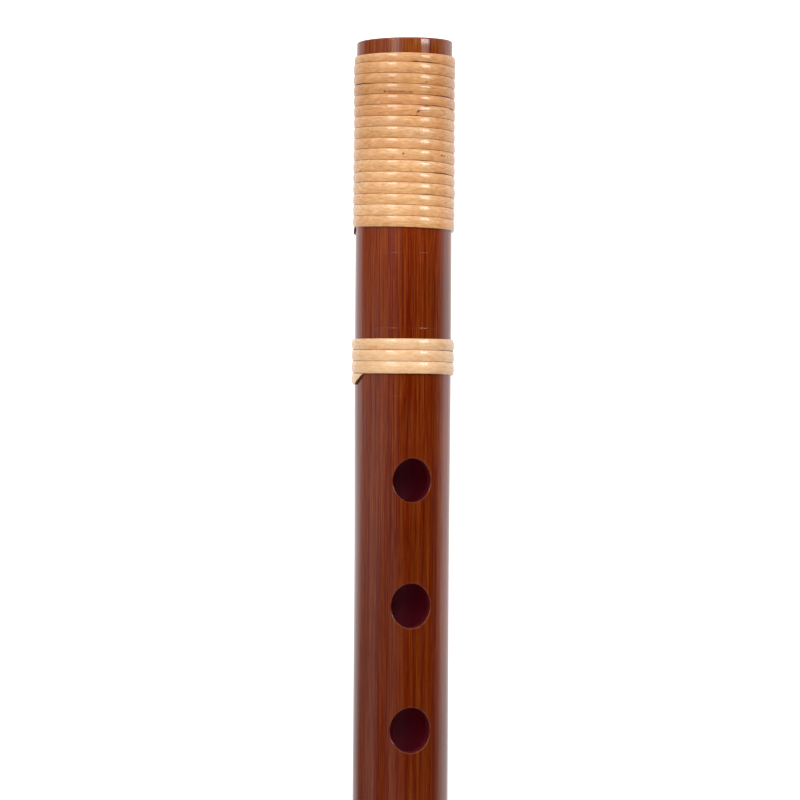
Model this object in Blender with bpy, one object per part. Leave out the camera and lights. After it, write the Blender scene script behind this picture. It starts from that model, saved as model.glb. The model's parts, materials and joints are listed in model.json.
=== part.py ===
"""Transverse bamboo flute, bound with rattan strip, lying on its bindings.

The tube lies along X with its foot end at -X, and its holes face +Z. A station is a
distance along the tube from the foot end. An angle is in degrees round the tube, from
the line of the holes towards +Y.
"""

import math
from dataclasses import dataclass

import bmesh
import bpy
import numpy as np
from mathutils import Vector

MM = 0.001

# Facets round every turned piece. The middle of one side faces straight down.
SIDES = 24
SIDE_ANGLE = 360.0 / SIDES

# Clearance between pieces that touch
CLEARANCE = 0.3 * MM

# Cane: the outside swells a little below the foot band and narrows at the finger holes
BORE_RADIUS = 7.0 * MM
FOOT_RADIUS = 9.95 * MM
SWELL_RADIUS = 10.12 * MM
WAIST_RADIUS = 9.98 * MM
HEAD_RADIUS = 10.2 * MM
SWELL_STATION = 60.0 * MM
WAIST_STATION = 118.0 * MM
OUTSIDE_RINGS_APART = 26.0 * MM
LEAST_RING_STEP = 1.0 * MM
END_ROUNDING = 0.3 * MM
BORE_EDGE_BREAK = 0.25 * MM

# Finger holes: one row, all alike
HOLE_COUNT = 7
FIRST_HOLE_STATION = 92.3 * MM
HOLE_SPACING = 26.03 * MM
HOLE_LENGTH = 8.9 * MM
HOLE_WIDTH = 8.0 * MM
HOLE_LEAN = 3.0

# Mouth hole, and the length of tube beyond its middle
MOUTH_HOLE_STATION = 380.5 * MM
MOUTH_HOLE_LENGTH = 12.5 * MM
MOUTH_HOLE_WIDTH = 10.5 * MM
HEAD_LENGTH = 99.5 * MM

# All holes
HOLE_EDGE_BREAK = 0.3 * MM
HOLE_POINTS = 20

# Rattan strip
STRIP_THICKNESS = 0.62 * MM
STRIP_CROWN = 0.34 * MM
MOST_CROWN_SHARE = 0.3
TURN_GAP = 0.43 * MM
CUT_TIP = 0.3 * MM
LEAST_STEP = 0.5
LEAST_GAP_ALLOWED = 0.4 * MM

# Foot winding, repeated end for end at the head
RIM_LENGTH = 3.1 * MM
WINDING_TURNS = 16
WINDING_PITCH = 2.3 * MM
WINDING_FIRST_TURN = 1.92 * MM
FOOT_WINDING_RADIUS = 10.55 * MM
HEAD_WINDING_RADIUS = 10.66 * MM
WINDING_START_ANGLE = -247.5
WINDING_TAIL_ANGLE = 262.5

# Splice of the foot winding: where the first strip's end and the next strip's start lie
SPLICE_TURN = 5
SPLICE_ANGLE = 3.0
SPLICE_LENGTH = 2.0 * MM

# Foot band, repeated beyond the finger holes
BAND_TURNS = 3
BAND_PITCH = 2.475 * MM
BAND_FIRST_TURN = 2.42 * MM
BAND_RADIUS = 10.66 * MM
BAND_START_ANGLE = -232.5
BAND_TAIL_ANGLE = 277.5
BAND_TO_HOLE = 29.55 * MM

# Side of the tube on which a band's turns lie square to it
LEVEL_SIDE = -12.0

# Seats cut into the cane for the bindings
SEAT_SHOULDER_RUN = 0.15 * MM

# A tenth of the strip's thickness is pressed flat where the flute lies
LYING_FLAT = 0.062 * MM

# Plug of the head end
STOPPER_SETBACK = 14.0 * MM
WAX_THICKNESS = 2.0 * MM
WAX_DISH = 0.6 * MM
WAX_DISH_RADIUS = 5.2 * MM
STOPPER_LENGTH = 18.0 * MM
STOPPER_TAPER = 0.15 * MM
CAP_LENGTH = 7.0 * MM
CAP_DOME = 0.9 * MM
CAP_DOME_RINGS = 3
PACKING_EDGE = 1.2 * MM
EDGE_BREAK = 0.35 * MM

TUBE_LENGTH = MOUTH_HOLE_STATION + HEAD_LENGTH
BAND_STATION = FIRST_HOLE_STATION - BAND_TO_HOLE
LAST_HOLE_STATION = FIRST_HOLE_STATION + (HOLE_COUNT - 1) * HOLE_SPACING


@dataclass(frozen=True)
class Binding:
    """A strip wound round the tube. Its level edge is at 0 and it advances along +X."""

    first_turn: float
    pitch: float
    turns: int
    radius: float
    climb_at_back: float
    start_angle: float
    tail_angle: float

    def climb(self, angle):
        """Turns advanced at an angle, counted from the level side of the first turn."""
        turn = (angle - LEVEL_SIDE) / 360.0
        return turn - self.climb_at_back * math.sin(math.tau * turn) / math.tau

    def far_edge(self, angle):
        return self.first_turn + self.pitch * self.climb(angle) - TURN_GAP / 2

    def near_edge(self, angle):
        return max(0.0, self.far_edge(angle) - self.pitch + TURN_GAP)

    @property
    def last_turn(self):
        """Winding angle at which the last turn's front begins."""
        return 360.0 * (self.turns - 1)

    @property
    def inner_radius(self):
        return self.radius - STRIP_THICKNESS

    @property
    def seat_radius(self):
        return self.inner_radius - CLEARANCE

    @property
    def tail_cut(self):
        """Winding angles of the tail's cut, at its far and at its near edge."""
        far = self.last_turn + self.tail_angle
        clearance_angle = math.degrees(2.0 * CLEARANCE / self.seat_radius)
        return far, far + SIDE_ANGLE - clearance_angle

    def seat_end(self, angle):
        """Where the seat ends at an angle: it follows the last turn, and steps at the tail."""
        angle = angle % 360.0
        if angle > self.tail_angle + SIDE_ANGLE / 2:
            angle -= 360.0
        return self.far_edge(self.last_turn + angle) + CLEARANCE


def winding(radius):
    return Binding(
        first_turn=WINDING_FIRST_TURN,
        pitch=WINDING_PITCH,
        turns=WINDING_TURNS,
        radius=radius,
        climb_at_back=0.0,
        start_angle=WINDING_START_ANGLE,
        tail_angle=WINDING_TAIL_ANGLE,
    )


FOOT_WINDING = winding(FOOT_WINDING_RADIUS)
HEAD_WINDING = winding(HEAD_WINDING_RADIUS)
BAND = Binding(
    first_turn=BAND_FIRST_TURN,
    pitch=BAND_PITCH,
    turns=BAND_TURNS,
    radius=BAND_RADIUS,
    climb_at_back=1.0,
    start_angle=BAND_START_ANGLE,
    tail_angle=BAND_TAIL_ANGLE,
)

# Each binding's place: the station of its level edge, and whether it is turned end for end
PLACES = (
    (FOOT_WINDING, RIM_LENGTH, False),
    (BAND, BAND_STATION, False),
    (BAND, FIRST_HOLE_STATION + LAST_HOLE_STATION - BAND_STATION, True),
    (HEAD_WINDING, TUBE_LENGTH - RIM_LENGTH, True),
)

THICKEST_BINDING = max(binding.radius for binding, _, _ in PLACES)
AXIS_HEIGHT = THICKEST_BINDING * math.cos(math.radians(SIDE_ANGLE / 2)) - LYING_FLAT


def clear_scene():
    for obj in list(bpy.data.objects):
        bpy.data.objects.remove(obj, do_unlink=True)


def finish(name, color, roughness):
    """A plain finish in linear colour."""
    material = bpy.data.materials.new(name)
    material.use_nodes = True
    shader = material.node_tree.nodes["Principled BSDF"]
    shader.inputs["Base Color"].default_value = (*color, 1.0)
    shader.inputs["Roughness"].default_value = roughness
    shader.inputs["Metallic"].default_value = 0.0
    material.diffuse_color = (*color, 1.0)
    return material


def side_radius(corner_radius, angle):
    """Distance from the axis to the many-sided outline at an angle."""
    half = SIDE_ANGLE / 2
    from_middle = (angle + half) % SIDE_ANGLE - half
    return corner_radius * math.cos(math.radians(half)) / math.cos(math.radians(from_middle))


def on_tube(station, angle, corner_radius):
    turn = math.radians(angle)
    radius = side_radius(corner_radius, angle)
    return Vector((station, radius * math.sin(turn), radius * math.cos(turn)))


def corner_angles():
    return [(index + 0.5) * SIDE_ANGLE for index in range(SIDES)]


def outside_radius(station):
    """Natural outside of the cane, eased from one girth to the next."""
    girths = (
        (0.0, FOOT_RADIUS),
        (SWELL_STATION, SWELL_RADIUS),
        (WAIST_STATION, WAIST_RADIUS),
        (TUBE_LENGTH, HEAD_RADIUS),
    )
    station = min(max(station, 0.0), TUBE_LENGTH)
    for (start, first), (end, last) in zip(girths, girths[1:]):
        if station <= end:
            share = (station - start) / (end - start)
            return first + (last - first) * share * share * (3.0 - 2.0 * share)
    return HEAD_RADIUS


def loft(mesh, rings, closed):
    """Faces from ring to ring. A closed loft joins the last ring to the first."""
    loops = [[mesh.verts.new(place) for place in ring] for ring in rings]
    following = loops[1:] + loops[:1] if closed else loops[1:]
    for ring, after in zip(loops, following):
        count = len(ring)
        for index in range(count):
            beside = (index + 1) % count
            mesh.faces.new((ring[index], ring[beside], after[beside], after[index]))
    if not closed:
        mesh.faces.new(loops[0])
        mesh.faces.new(loops[-1])
    bmesh.ops.recalc_face_normals(mesh, faces=mesh.faces)


def add_piece(name, mesh, material, parent, station=0.0, turned=False):
    data = bpy.data.meshes.new(name)
    mesh.to_mesh(data)
    mesh.free()
    data.shade_smooth()
    data.set_sharp_from_angle(angle=math.radians(30.0))
    if material:
        data.materials.append(material)
    piece = bpy.data.objects.new(name, data)
    bpy.context.scene.collection.objects.link(piece)
    piece.parent = parent
    piece.location.x = station
    if turned:
        piece.rotation_euler.z = math.pi
    return piece


def seat_rings(binding, station, turned):
    """The four rings of one binding's seat, in order along +X.

    The level end has a square shoulder. The other end follows the strip's last turn.
    """
    surface = outside_radius(station)
    level = [
        (-CLEARANCE - SEAT_SHOULDER_RUN, surface),
        (-CLEARANCE, binding.seat_radius),
    ]
    rings = [[(offset, radius) for _ in range(SIDES)] for offset, radius in level]
    ends = [binding.seat_end(-angle if turned else angle) for angle in corner_angles()]
    rings.append([(end, binding.seat_radius) for end in ends])
    rings.append([(end + SEAT_SHOULDER_RUN, surface) for end in ends])
    if turned:
        rings = [[(station - offset, radius) for offset, radius in ring] for ring in rings]
        return rings[::-1]
    return [[(station + offset, radius) for offset, radius in ring] for ring in rings]


def outside_rings():
    """Rings of the cane's outside from foot to head: its ends, its seats and its girth."""
    seats = [seat_rings(*place) for place in PLACES]
    plain = [END_ROUNDING, TUBE_LENGTH - END_ROUNDING]
    steps = int(TUBE_LENGTH / OUTSIDE_RINGS_APART)
    plain += [TUBE_LENGTH * index / steps for index in range(1, steps)]
    spans = []
    for seat in seats:
        stations = [station for ring in seat for station, _ in ring]
        spans.append((min(stations), max(stations)))
    free = [
        station
        for station in plain
        if all(not low - LEAST_RING_STEP < station < high + LEAST_RING_STEP for low, high in spans)
    ]
    rings = [[(station, outside_radius(station))] * SIDES for station in free]
    for seat in seats:
        rings += seat
    rings.sort(key=lambda ring: sum(station for station, _ in ring))
    return rings


def bamboo_tube(axis, material):
    """Cane with its bore, its natural girth and a seat for each binding, as one loft."""
    foot_face = [(0.0, FOOT_RADIUS - END_ROUNDING)] * SIDES
    head_face = [(TUBE_LENGTH, HEAD_RADIUS - END_ROUNDING)] * SIDES
    bore = [
        (TUBE_LENGTH, BORE_RADIUS + BORE_EDGE_BREAK),
        (TUBE_LENGTH - BORE_EDGE_BREAK, BORE_RADIUS),
        (BORE_EDGE_BREAK, BORE_RADIUS),
        (0.0, BORE_RADIUS + BORE_EDGE_BREAK),
    ]
    outlines = [foot_face, *outside_rings(), head_face]
    outlines += [[ring] * SIDES for ring in bore]
    rings = [
        [on_tube(s, angle, r) for (s, r), angle in zip(outline, corner_angles())]
        for outline in outlines
    ]
    mesh = bmesh.new()
    loft(mesh, rings, closed=True)
    return add_piece("bamboo_tube", mesh, material, axis)


def hole_cutter(mesh, station, length, width, lean):
    """An oval cutter through the upper wall, flared where it leaves the cane's outside."""
    surface = outside_radius(station)
    flare = HOLE_EDGE_BREAK
    rings = (
        (0.0, lambda y: 0.0),
        (0.0, lambda y: math.sqrt(surface**2 - y**2) - flare),
        (2.0 * flare, lambda y: math.sqrt(surface**2 - y**2) + flare),
        (2.0 * flare, lambda y: surface + 3.0 * flare),
    )
    slant = math.radians(lean)
    outlines = []
    for wider, height in rings:
        outline = []
        for index in range(HOLE_POINTS):
            turn = math.tau * (index + 0.5) / HOLE_POINTS
            along = (length / 2 + wider) * math.cos(turn)
            across = (width / 2 + wider) * math.sin(turn)
            x = station + along * math.cos(slant) + across * math.sin(slant)
            y = across * math.cos(slant) - along * math.sin(slant)
            outline.append(Vector((x, y, height(y))))
        outlines.append(outline)
    loft(mesh, outlines, closed=False)


def drill_holes(tube, axis):
    mesh = bmesh.new()
    for index in range(HOLE_COUNT):
        station = FIRST_HOLE_STATION + index * HOLE_SPACING
        hole_cutter(mesh, station, HOLE_LENGTH, HOLE_WIDTH, HOLE_LEAN)
    hole_cutter(mesh, MOUTH_HOLE_STATION, MOUTH_HOLE_LENGTH, MOUTH_HOLE_WIDTH, 0.0)
    cutters = add_piece("hole_cutters", mesh, None, axis)
    cutters.hide_render = True
    cutters.display_type = "WIRE"
    cut = tube.modifiers.new("holes", "BOOLEAN")
    cut.operation = "DIFFERENCE"
    cut.object = cutters


def strip_section(binding, angle, near, far):
    """Four points of the strip: flat inside, narrower outside, so that it looks crowned."""
    crown = min(STRIP_CROWN, MOST_CROWN_SHARE * (far - near))
    inner = binding.inner_radius
    places = (
        (near, inner),
        (far, inner),
        (far - crown, binding.radius),
        (near + crown, binding.radius),
    )
    points = [on_tube(station, angle, radius) for station, radius in places]
    for point in points:
        point.z = max(point.z, -AXIS_HEIGHT)
    return points


def strip_angles(start, end, between):
    """Angles of a strip's sections: its ends, each corner of the outline, and any others."""
    first = math.floor(start / SIDE_ANGLE) + 0.5
    wanted = [start, end, *between]
    kept = [
        float(corner)
        for corner in np.arange(first * SIDE_ANGLE, end, SIDE_ANGLE)
        if start < corner < end and all(abs(corner - angle) > LEAST_STEP for angle in wanted)
    ]
    return sorted(set(wanted + kept))


def least_gap(sections, angles):
    """Least distance between points of the strip that lie half a turn or more apart."""
    points = np.array([point for section in sections for point in section])
    places = np.repeat(np.array(angles), len(sections[0]))
    least = math.inf
    for point, place in zip(points, places):
        others = points[np.abs(places - place) > 180.0]
        if len(others):
            least = min(least, float(np.linalg.norm(others - point, axis=1).min()))
    return least


def rattan_strip(name, binding, axis, material, place, start_cut=None, end_cut=None):
    """One strip of a binding. At an end cut the far edge runs back to the near edge.

    At a start cut the near edge begins at the far edge. With none, the strip starts as
    the long taper that keeps the first turn level.
    """
    station, turned = place
    end_cut = end_cut or binding.tail_cut
    start = start_cut[0] if start_cut else binding.start_angle
    between = [end_cut[0]] + ([start_cut[1]] if start_cut else [])
    angles = strip_angles(start, end_cut[1], between)
    sections = []
    for angle in angles:
        near = binding.near_edge(angle)
        far = binding.far_edge(angle)
        if angle > end_cut[0]:
            share = (angle - end_cut[0]) / (end_cut[1] - end_cut[0])
            far += (near + CUT_TIP - far) * share
        if start_cut and angle < start_cut[1]:
            share = (start_cut[1] - angle) / (start_cut[1] - start_cut[0])
            near += (far - CUT_TIP - near) * share
        sections.append(strip_section(binding, angle, near, far))
    gap = least_gap(sections, angles)
    verdict = "over" if gap > LEAST_GAP_ALLOWED else "UNDER"
    print(f"{name}: least gap to itself {gap / MM:.3f} mm, {verdict} {LEAST_GAP_ALLOWED / MM} mm")
    mesh = bmesh.new()
    loft(mesh, sections, closed=False)
    return add_piece(name, mesh, material, axis, station, turned)


def foot_winding(axis, material):
    """Two strips in line, each cut slantwise where they meet in the splice."""
    meeting = 360.0 * SPLICE_TURN + SPLICE_ANGLE
    radius = FOOT_WINDING.radius
    span = math.degrees(SPLICE_LENGTH / radius)
    step = math.degrees(2.0 * CLEARANCE / radius)
    place = (RIM_LENGTH, False)
    rattan_strip(
        "foot_winding_outer_strip",
        FOOT_WINDING,
        axis,
        material,
        place,
        end_cut=(meeting, meeting + span),
    )
    rattan_strip(
        "foot_winding_inner_strip",
        FOOT_WINDING,
        axis,
        material,
        place,
        start_cut=(meeting + step, meeting + span + step),
    )


def turned_plug(name, profile, axis, material, station):
    """A round piece from a profile of (distance from its front, radius)."""
    rings = [[on_tube(x, angle, r) for angle in corner_angles()] for x, r in profile]
    mesh = bmesh.new()
    loft(mesh, rings, closed=False)
    return add_piece(name, mesh, material, axis, station)


def plug_head_end(axis, wax, cork, paper, wood):
    """Wax, cork, paper and cap, each a clearance behind the one before it."""
    radius = BORE_RADIUS - CLEARANCE
    wax_station = MOUTH_HOLE_STATION + STOPPER_SETBACK
    stopper_station = wax_station + WAX_THICKNESS + CLEARANCE
    packing_station = stopper_station + STOPPER_LENGTH + CLEARANCE
    cap_station = TUBE_LENGTH - CAP_LENGTH
    packing_length = cap_station - CLEARANCE - packing_station
    turned_plug(
        "wax_seal",
        [
            (WAX_DISH, WAX_DISH_RADIUS),
            (0.0, radius),
            (WAX_THICKNESS, radius),
        ],
        axis,
        wax,
        wax_station,
    )
    turned_plug(
        "head_stopper",
        [
            (0.0, radius - EDGE_BREAK),
            (EDGE_BREAK, radius),
            (STOPPER_LENGTH - EDGE_BREAK, radius - STOPPER_TAPER),
            (STOPPER_LENGTH, radius - STOPPER_TAPER - EDGE_BREAK),
        ],
        axis,
        cork,
        stopper_station,
    )
    turned_plug(
        "paper_packing",
        [
            (0.0, radius - PACKING_EDGE),
            (PACKING_EDGE, radius),
            (packing_length - PACKING_EDGE, radius),
            (packing_length, radius - PACKING_EDGE),
        ],
        axis,
        paper,
        packing_station,
    )
    dome = [
        (CAP_LENGTH - CAP_DOME * share**2, radius * share)
        for share in (1.0 - ring / (CAP_DOME_RINGS + 1) for ring in range(CAP_DOME_RINGS + 1))
    ]
    turned_plug(
        "head_cap",
        [
            (0.0, radius - EDGE_BREAK),
            (EDGE_BREAK, radius),
            *dome,
        ],
        axis,
        wood,
        cap_station,
    )


def main():
    clear_scene()
    lacquered_cane = finish("lacquered_cane", (0.184, 0.030, 0.006), 0.22)
    rattan = finish("rattan", (0.73, 0.43, 0.20), 0.38)
    cork = finish("cork", (0.48, 0.30, 0.16), 0.85)
    wax = finish("wax", (0.62, 0.40, 0.14), 0.45)
    paper = finish("paper", (0.70, 0.66, 0.56), 0.9)
    cap_wood = finish("cap_wood", (0.10, 0.012, 0.006), 0.25)

    axis = bpy.data.objects.new("flute_axis", None)
    bpy.context.scene.collection.objects.link(axis)
    axis.location = (-TUBE_LENGTH / 2, 0.0, AXIS_HEIGHT)

    tube = bamboo_tube(axis, lacquered_cane)
    drill_holes(tube, axis)
    foot_winding(axis, rattan)
    _, foot_band, head_band, head_winding = PLACES
    rattan_strip("foot_band", BAND, axis, rattan, foot_band[1:])
    rattan_strip("head_band", BAND, axis, rattan, head_band[1:])
    rattan_strip("head_winding", HEAD_WINDING, axis, rattan, head_winding[1:])
    plug_head_end(axis, wax, cork, paper, cap_wood)


main()
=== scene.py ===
import json
import math

import bmesh
import bpy
import numpy as np
from mathutils import Matrix, Vector, noise


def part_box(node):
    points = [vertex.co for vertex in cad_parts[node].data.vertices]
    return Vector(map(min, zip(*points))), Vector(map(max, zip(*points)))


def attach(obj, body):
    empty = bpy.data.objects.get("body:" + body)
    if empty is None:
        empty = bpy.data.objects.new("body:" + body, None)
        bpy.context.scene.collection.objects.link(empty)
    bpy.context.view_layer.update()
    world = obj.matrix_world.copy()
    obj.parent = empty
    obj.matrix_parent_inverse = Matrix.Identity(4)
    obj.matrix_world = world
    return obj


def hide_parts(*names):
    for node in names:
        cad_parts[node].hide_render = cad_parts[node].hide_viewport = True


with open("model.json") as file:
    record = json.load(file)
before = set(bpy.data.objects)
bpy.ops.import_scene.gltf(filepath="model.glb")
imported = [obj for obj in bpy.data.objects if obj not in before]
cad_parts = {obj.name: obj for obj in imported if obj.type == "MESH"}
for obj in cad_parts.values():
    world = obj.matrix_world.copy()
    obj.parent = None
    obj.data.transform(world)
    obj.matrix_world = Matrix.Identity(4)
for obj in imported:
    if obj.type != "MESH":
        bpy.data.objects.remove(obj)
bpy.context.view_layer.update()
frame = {"record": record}
mm = 0.001

# The flute lies along X with its foot end at -X and its holes up. A station is a distance
# from the foot end. An angle is in degrees round the axis, from the holes towards +Y.
tubeLow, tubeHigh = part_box("bamboo_tube")
footX = tubeLow.x
tubeLength = tubeHigh.x - tubeLow.x
axisZ = (tubeLow.z + tubeHigh.z) / 2


def onTube(station, angle, radius):
    turn = math.radians(angle)
    return Vector((footX + station, radius * math.sin(turn), axisZ + radius * math.cos(turn)))


def smoothStep(share):
    share = min(max(share, 0.0), 1.0)
    return share * share * (3.0 - 2.0 * share)


def easedAlong(stops, place):
    # smooth value between (place, value) stops
    for (start, first), (end, last) in zip(stops, stops[1:]):
        if place <= end:
            return first + (last - first) * smoothStep((place - start) / (end - start))
    return stops[-1][1]


# node helpers
def placeNode(tree, kind, feed=None, **settings):
    node = tree.nodes.new(kind)
    for name, value in settings.items():
        setattr(node, name, value)
    for key, value in (feed or {}).items():
        if isinstance(value, bpy.types.NodeSocket):
            tree.links.new(value, node.inputs[key])
        else:
            node.inputs[key].default_value = value
    return node


def calc(tree, operation, *terms, clamp=False):
    feed = dict(enumerate(terms))
    node = placeNode(tree, "ShaderNodeMath", feed, operation=operation, use_clamp=clamp)
    return node.outputs[0]


def remap(tree, value, low, high, newLow=0.0, newHigh=1.0):
    feed = {"Value": value, "From Min": low, "From Max": high, "To Min": newLow, "To Max": newHigh}
    return placeNode(tree, "ShaderNodeMapRange", feed, clamp=True).outputs[0]


def blendColors(tree, share, first, second, mode="MIX"):
    node = placeNode(tree, "ShaderNodeMix", data_type="RGBA", blend_type=mode)
    for key, value in ((0, share), (6, first), (7, second)):
        if isinstance(value, bpy.types.NodeSocket):
            tree.links.new(value, node.inputs[key])
        else:
            node.inputs[key].default_value = value if key == 0 else (*value, 1.0)
    return node.outputs[2]


def colorSteps(tree, value, stops):
    node = placeNode(tree, "ShaderNodeValToRGB", {"Fac": value})
    ramp = node.color_ramp
    while len(ramp.elements) < len(stops):
        ramp.elements.new(0.5)
    for element, (place, color) in zip(ramp.elements, stops):
        element.position = place
        element.color = (*color, 1.0)
    return node.outputs[0]


def valueSteps(tree, value, stops):
    # a value that follows (place, level) stops, both in their own units
    low, high = stops[0][0], stops[-1][0]
    top = max(level for place, level in stops)
    steps = [((place - low) / (high - low), (level / top,) * 3) for place, level in stops]
    color = colorSteps(tree, remap(tree, value, low, high), steps)
    return calc(tree, "MULTIPLY", color, top)


def blendRows(tree, along, value, rows):
    # (place along, stops) rows, each blended into the next one
    (before, stops), *others = rows
    mixed = valueSteps(tree, value, stops)
    for place, stops in others:
        share = remap(tree, along, before, place)
        mixed = blendColors(tree, share, mixed, valueSteps(tree, value, stops))
        before = place
    return mixed


def newGroup(name, inputs, outputs):
    group = bpy.data.node_groups.new(name, "ShaderNodeTree")
    for label, kind, value in inputs:
        socket = group.interface.new_socket(label, in_out="INPUT", socket_type=kind)
        if value is not None:
            socket.default_value = value
    for label, kind in outputs:
        group.interface.new_socket(label, in_out="OUTPUT", socket_type=kind)
    entry = group.nodes.new("NodeGroupInput")
    leave = group.nodes.new("NodeGroupOutput")
    return group, entry.outputs, leave.inputs


def useGroup(tree, group, **feed):
    node = placeNode(tree, "ShaderNodeGroup", node_tree=group)
    for key, value in feed.items():
        socket = node.inputs[key]
        if isinstance(value, bpy.types.NodeSocket):
            tree.links.new(value, socket)
        else:
            socket.default_value = value
    return node.outputs


number = "NodeSocketFloat"
vector = "NodeSocketVector"


def makeLengthGrain():
    # streaks that run along X, waver a little and never repeat round the cane
    group, given, result = newGroup(
        "lengthGrain",
        [("Vector", vector, None), ("Along", number, 30.0), ("Across", number, 3000.0),
         ("Detail", number, 4.0), ("Waver", number, 0.0)],
        [("Grain", number), ("Lines", number), ("Pale", number)],
    )
    stretch = placeNode(
        group, "ShaderNodeCombineXYZ",
        {"X": given["Along"], "Y": given["Across"], "Z": given["Across"]},
    ).outputs[0]
    place = placeNode(
        group, "ShaderNodeVectorMath", {0: given["Vector"], 1: stretch}, operation="MULTIPLY"
    ).outputs[0]
    slow = placeNode(
        group, "ShaderNodeVectorMath", {0: place, 1: (3.0, 0.06, 0.06)}, operation="MULTIPLY"
    ).outputs[0]
    bend = placeNode(
        group, "ShaderNodeTexNoise", {"Vector": slow, "Scale": 1.0, "Detail": 1.0}
    ).outputs[0]
    bend = calc(group, "MULTIPLY", calc(group, "SUBTRACT", bend, 0.5), given["Waver"])
    shift = placeNode(group, "ShaderNodeCombineXYZ", {"Y": bend, "Z": bend}).outputs[0]
    place = placeNode(
        group, "ShaderNodeVectorMath", {0: place, 1: shift}, operation="ADD"
    ).outputs[0]
    broad = placeNode(
        group, "ShaderNodeTexNoise",
        {"Vector": place, "Scale": 1.0, "Detail": given["Detail"], "Roughness": 0.62},
    ).outputs[0]
    fine = placeNode(
        group, "ShaderNodeTexNoise",
        {"Vector": place, "Scale": 2.3, "Detail": 2.0, "Roughness": 0.5},
    ).outputs[0]
    group.links.new(remap(group, broad, 0.3, 0.72), result["Grain"])
    group.links.new(remap(group, fine, 0.56, 0.74), result["Lines"])
    group.links.new(remap(group, fine, 0.42, 0.28), result["Pale"])
    return group


def makeSparseSpecks():
    # small spots, in only some of the cells
    group, given, result = newGroup(
        "sparseSpecks",
        [("Vector", vector, None), ("Scale", number, 400.0), ("Size", number, 0.12),
         ("Share", number, 0.2)],
        [("Specks", number)],
    )
    cells = placeNode(
        group, "ShaderNodeTexVoronoi", {"Vector": given["Vector"], "Scale": given["Scale"]}
    ).outputs
    parts = placeNode(group, "ShaderNodeSeparateColor", {0: cells["Color"]}).outputs
    chosen = calc(group, "LESS_THAN", parts[0], given["Share"])
    spot = remap(group, cells["Distance"], given["Size"], 0.0)
    group.links.new(calc(group, "MULTIPLY", chosen, spot), result["Specks"])
    return group


def makeCloudyTone():
    # slow change of tone, for handling, thin lacquer and dust
    group, given, result = newGroup(
        "cloudyTone",
        [("Vector", vector, None), ("Scale", number, 60.0), ("Depth", number, 0.5)],
        [("Tone", number)],
    )
    cloud = placeNode(
        group, "ShaderNodeTexNoise",
        {"Vector": given["Vector"], "Scale": given["Scale"], "Detail": 3.0, "Roughness": 0.55},
    ).outputs[0]
    centred = calc(group, "SUBTRACT", cloud, 0.5)
    group.links.new(calc(group, "MULTIPLY_ADD", centred, given["Depth"], 1.0), result["Tone"])
    return group


def makeStripFleck():
    # one oval mark at a place on a strip; lengths in millimetres
    group, given, result = newGroup(
        "stripFleck",
        [("Along", number, 0.0), ("Across", number, 0.0), ("AtAlong", number, 0.0),
         ("AtAcross", number, 0.0), ("Length", number, 1.0), ("Width", number, 0.5)],
        [("Fleck", number)],
    )
    off = []
    for axis, size in (("Along", "Length"), ("Across", "Width")):
        away = calc(group, "SUBTRACT", given[axis], given["At" + axis])
        away = calc(group, "DIVIDE", away, given[size])
        off.append(calc(group, "MULTIPLY", away, away))
    away = calc(group, "SQRT", calc(group, "ADD", *off))
    group.links.new(remap(group, away, 0.6, 0.3), result["Fleck"])
    return group


lengthGrain = makeLengthGrain()
sparseSpecks = makeSparseSpecks()
cloudyTone = makeCloudyTone()
stripFleck = makeStripFleck()
print("shader groups made")


def newMaterial(name, viewColor):
    material = bpy.data.materials.new(name)
    material.use_nodes = True
    material.diffuse_color = (*viewColor, 1.0)
    tree = material.node_tree
    shader = tree.nodes["Principled BSDF"]
    place = placeNode(tree, "ShaderNodeTexCoord").outputs["Object"]
    return material, tree, shader, place


def setSurface(tree, shader, color, roughness, height, depth, strength=1.0):
    tree.links.new(color, shader.inputs["Base Color"])
    if isinstance(roughness, bpy.types.NodeSocket):
        tree.links.new(roughness, shader.inputs["Roughness"])
    else:
        shader.inputs["Roughness"].default_value = roughness
    if height is not None:
        bump = placeNode(
            tree, "ShaderNodeBump", {"Height": height, "Distance": depth, "Strength": strength}
        )
        tree.links.new(bump.outputs[0], shader.inputs["Normal"])


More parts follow.
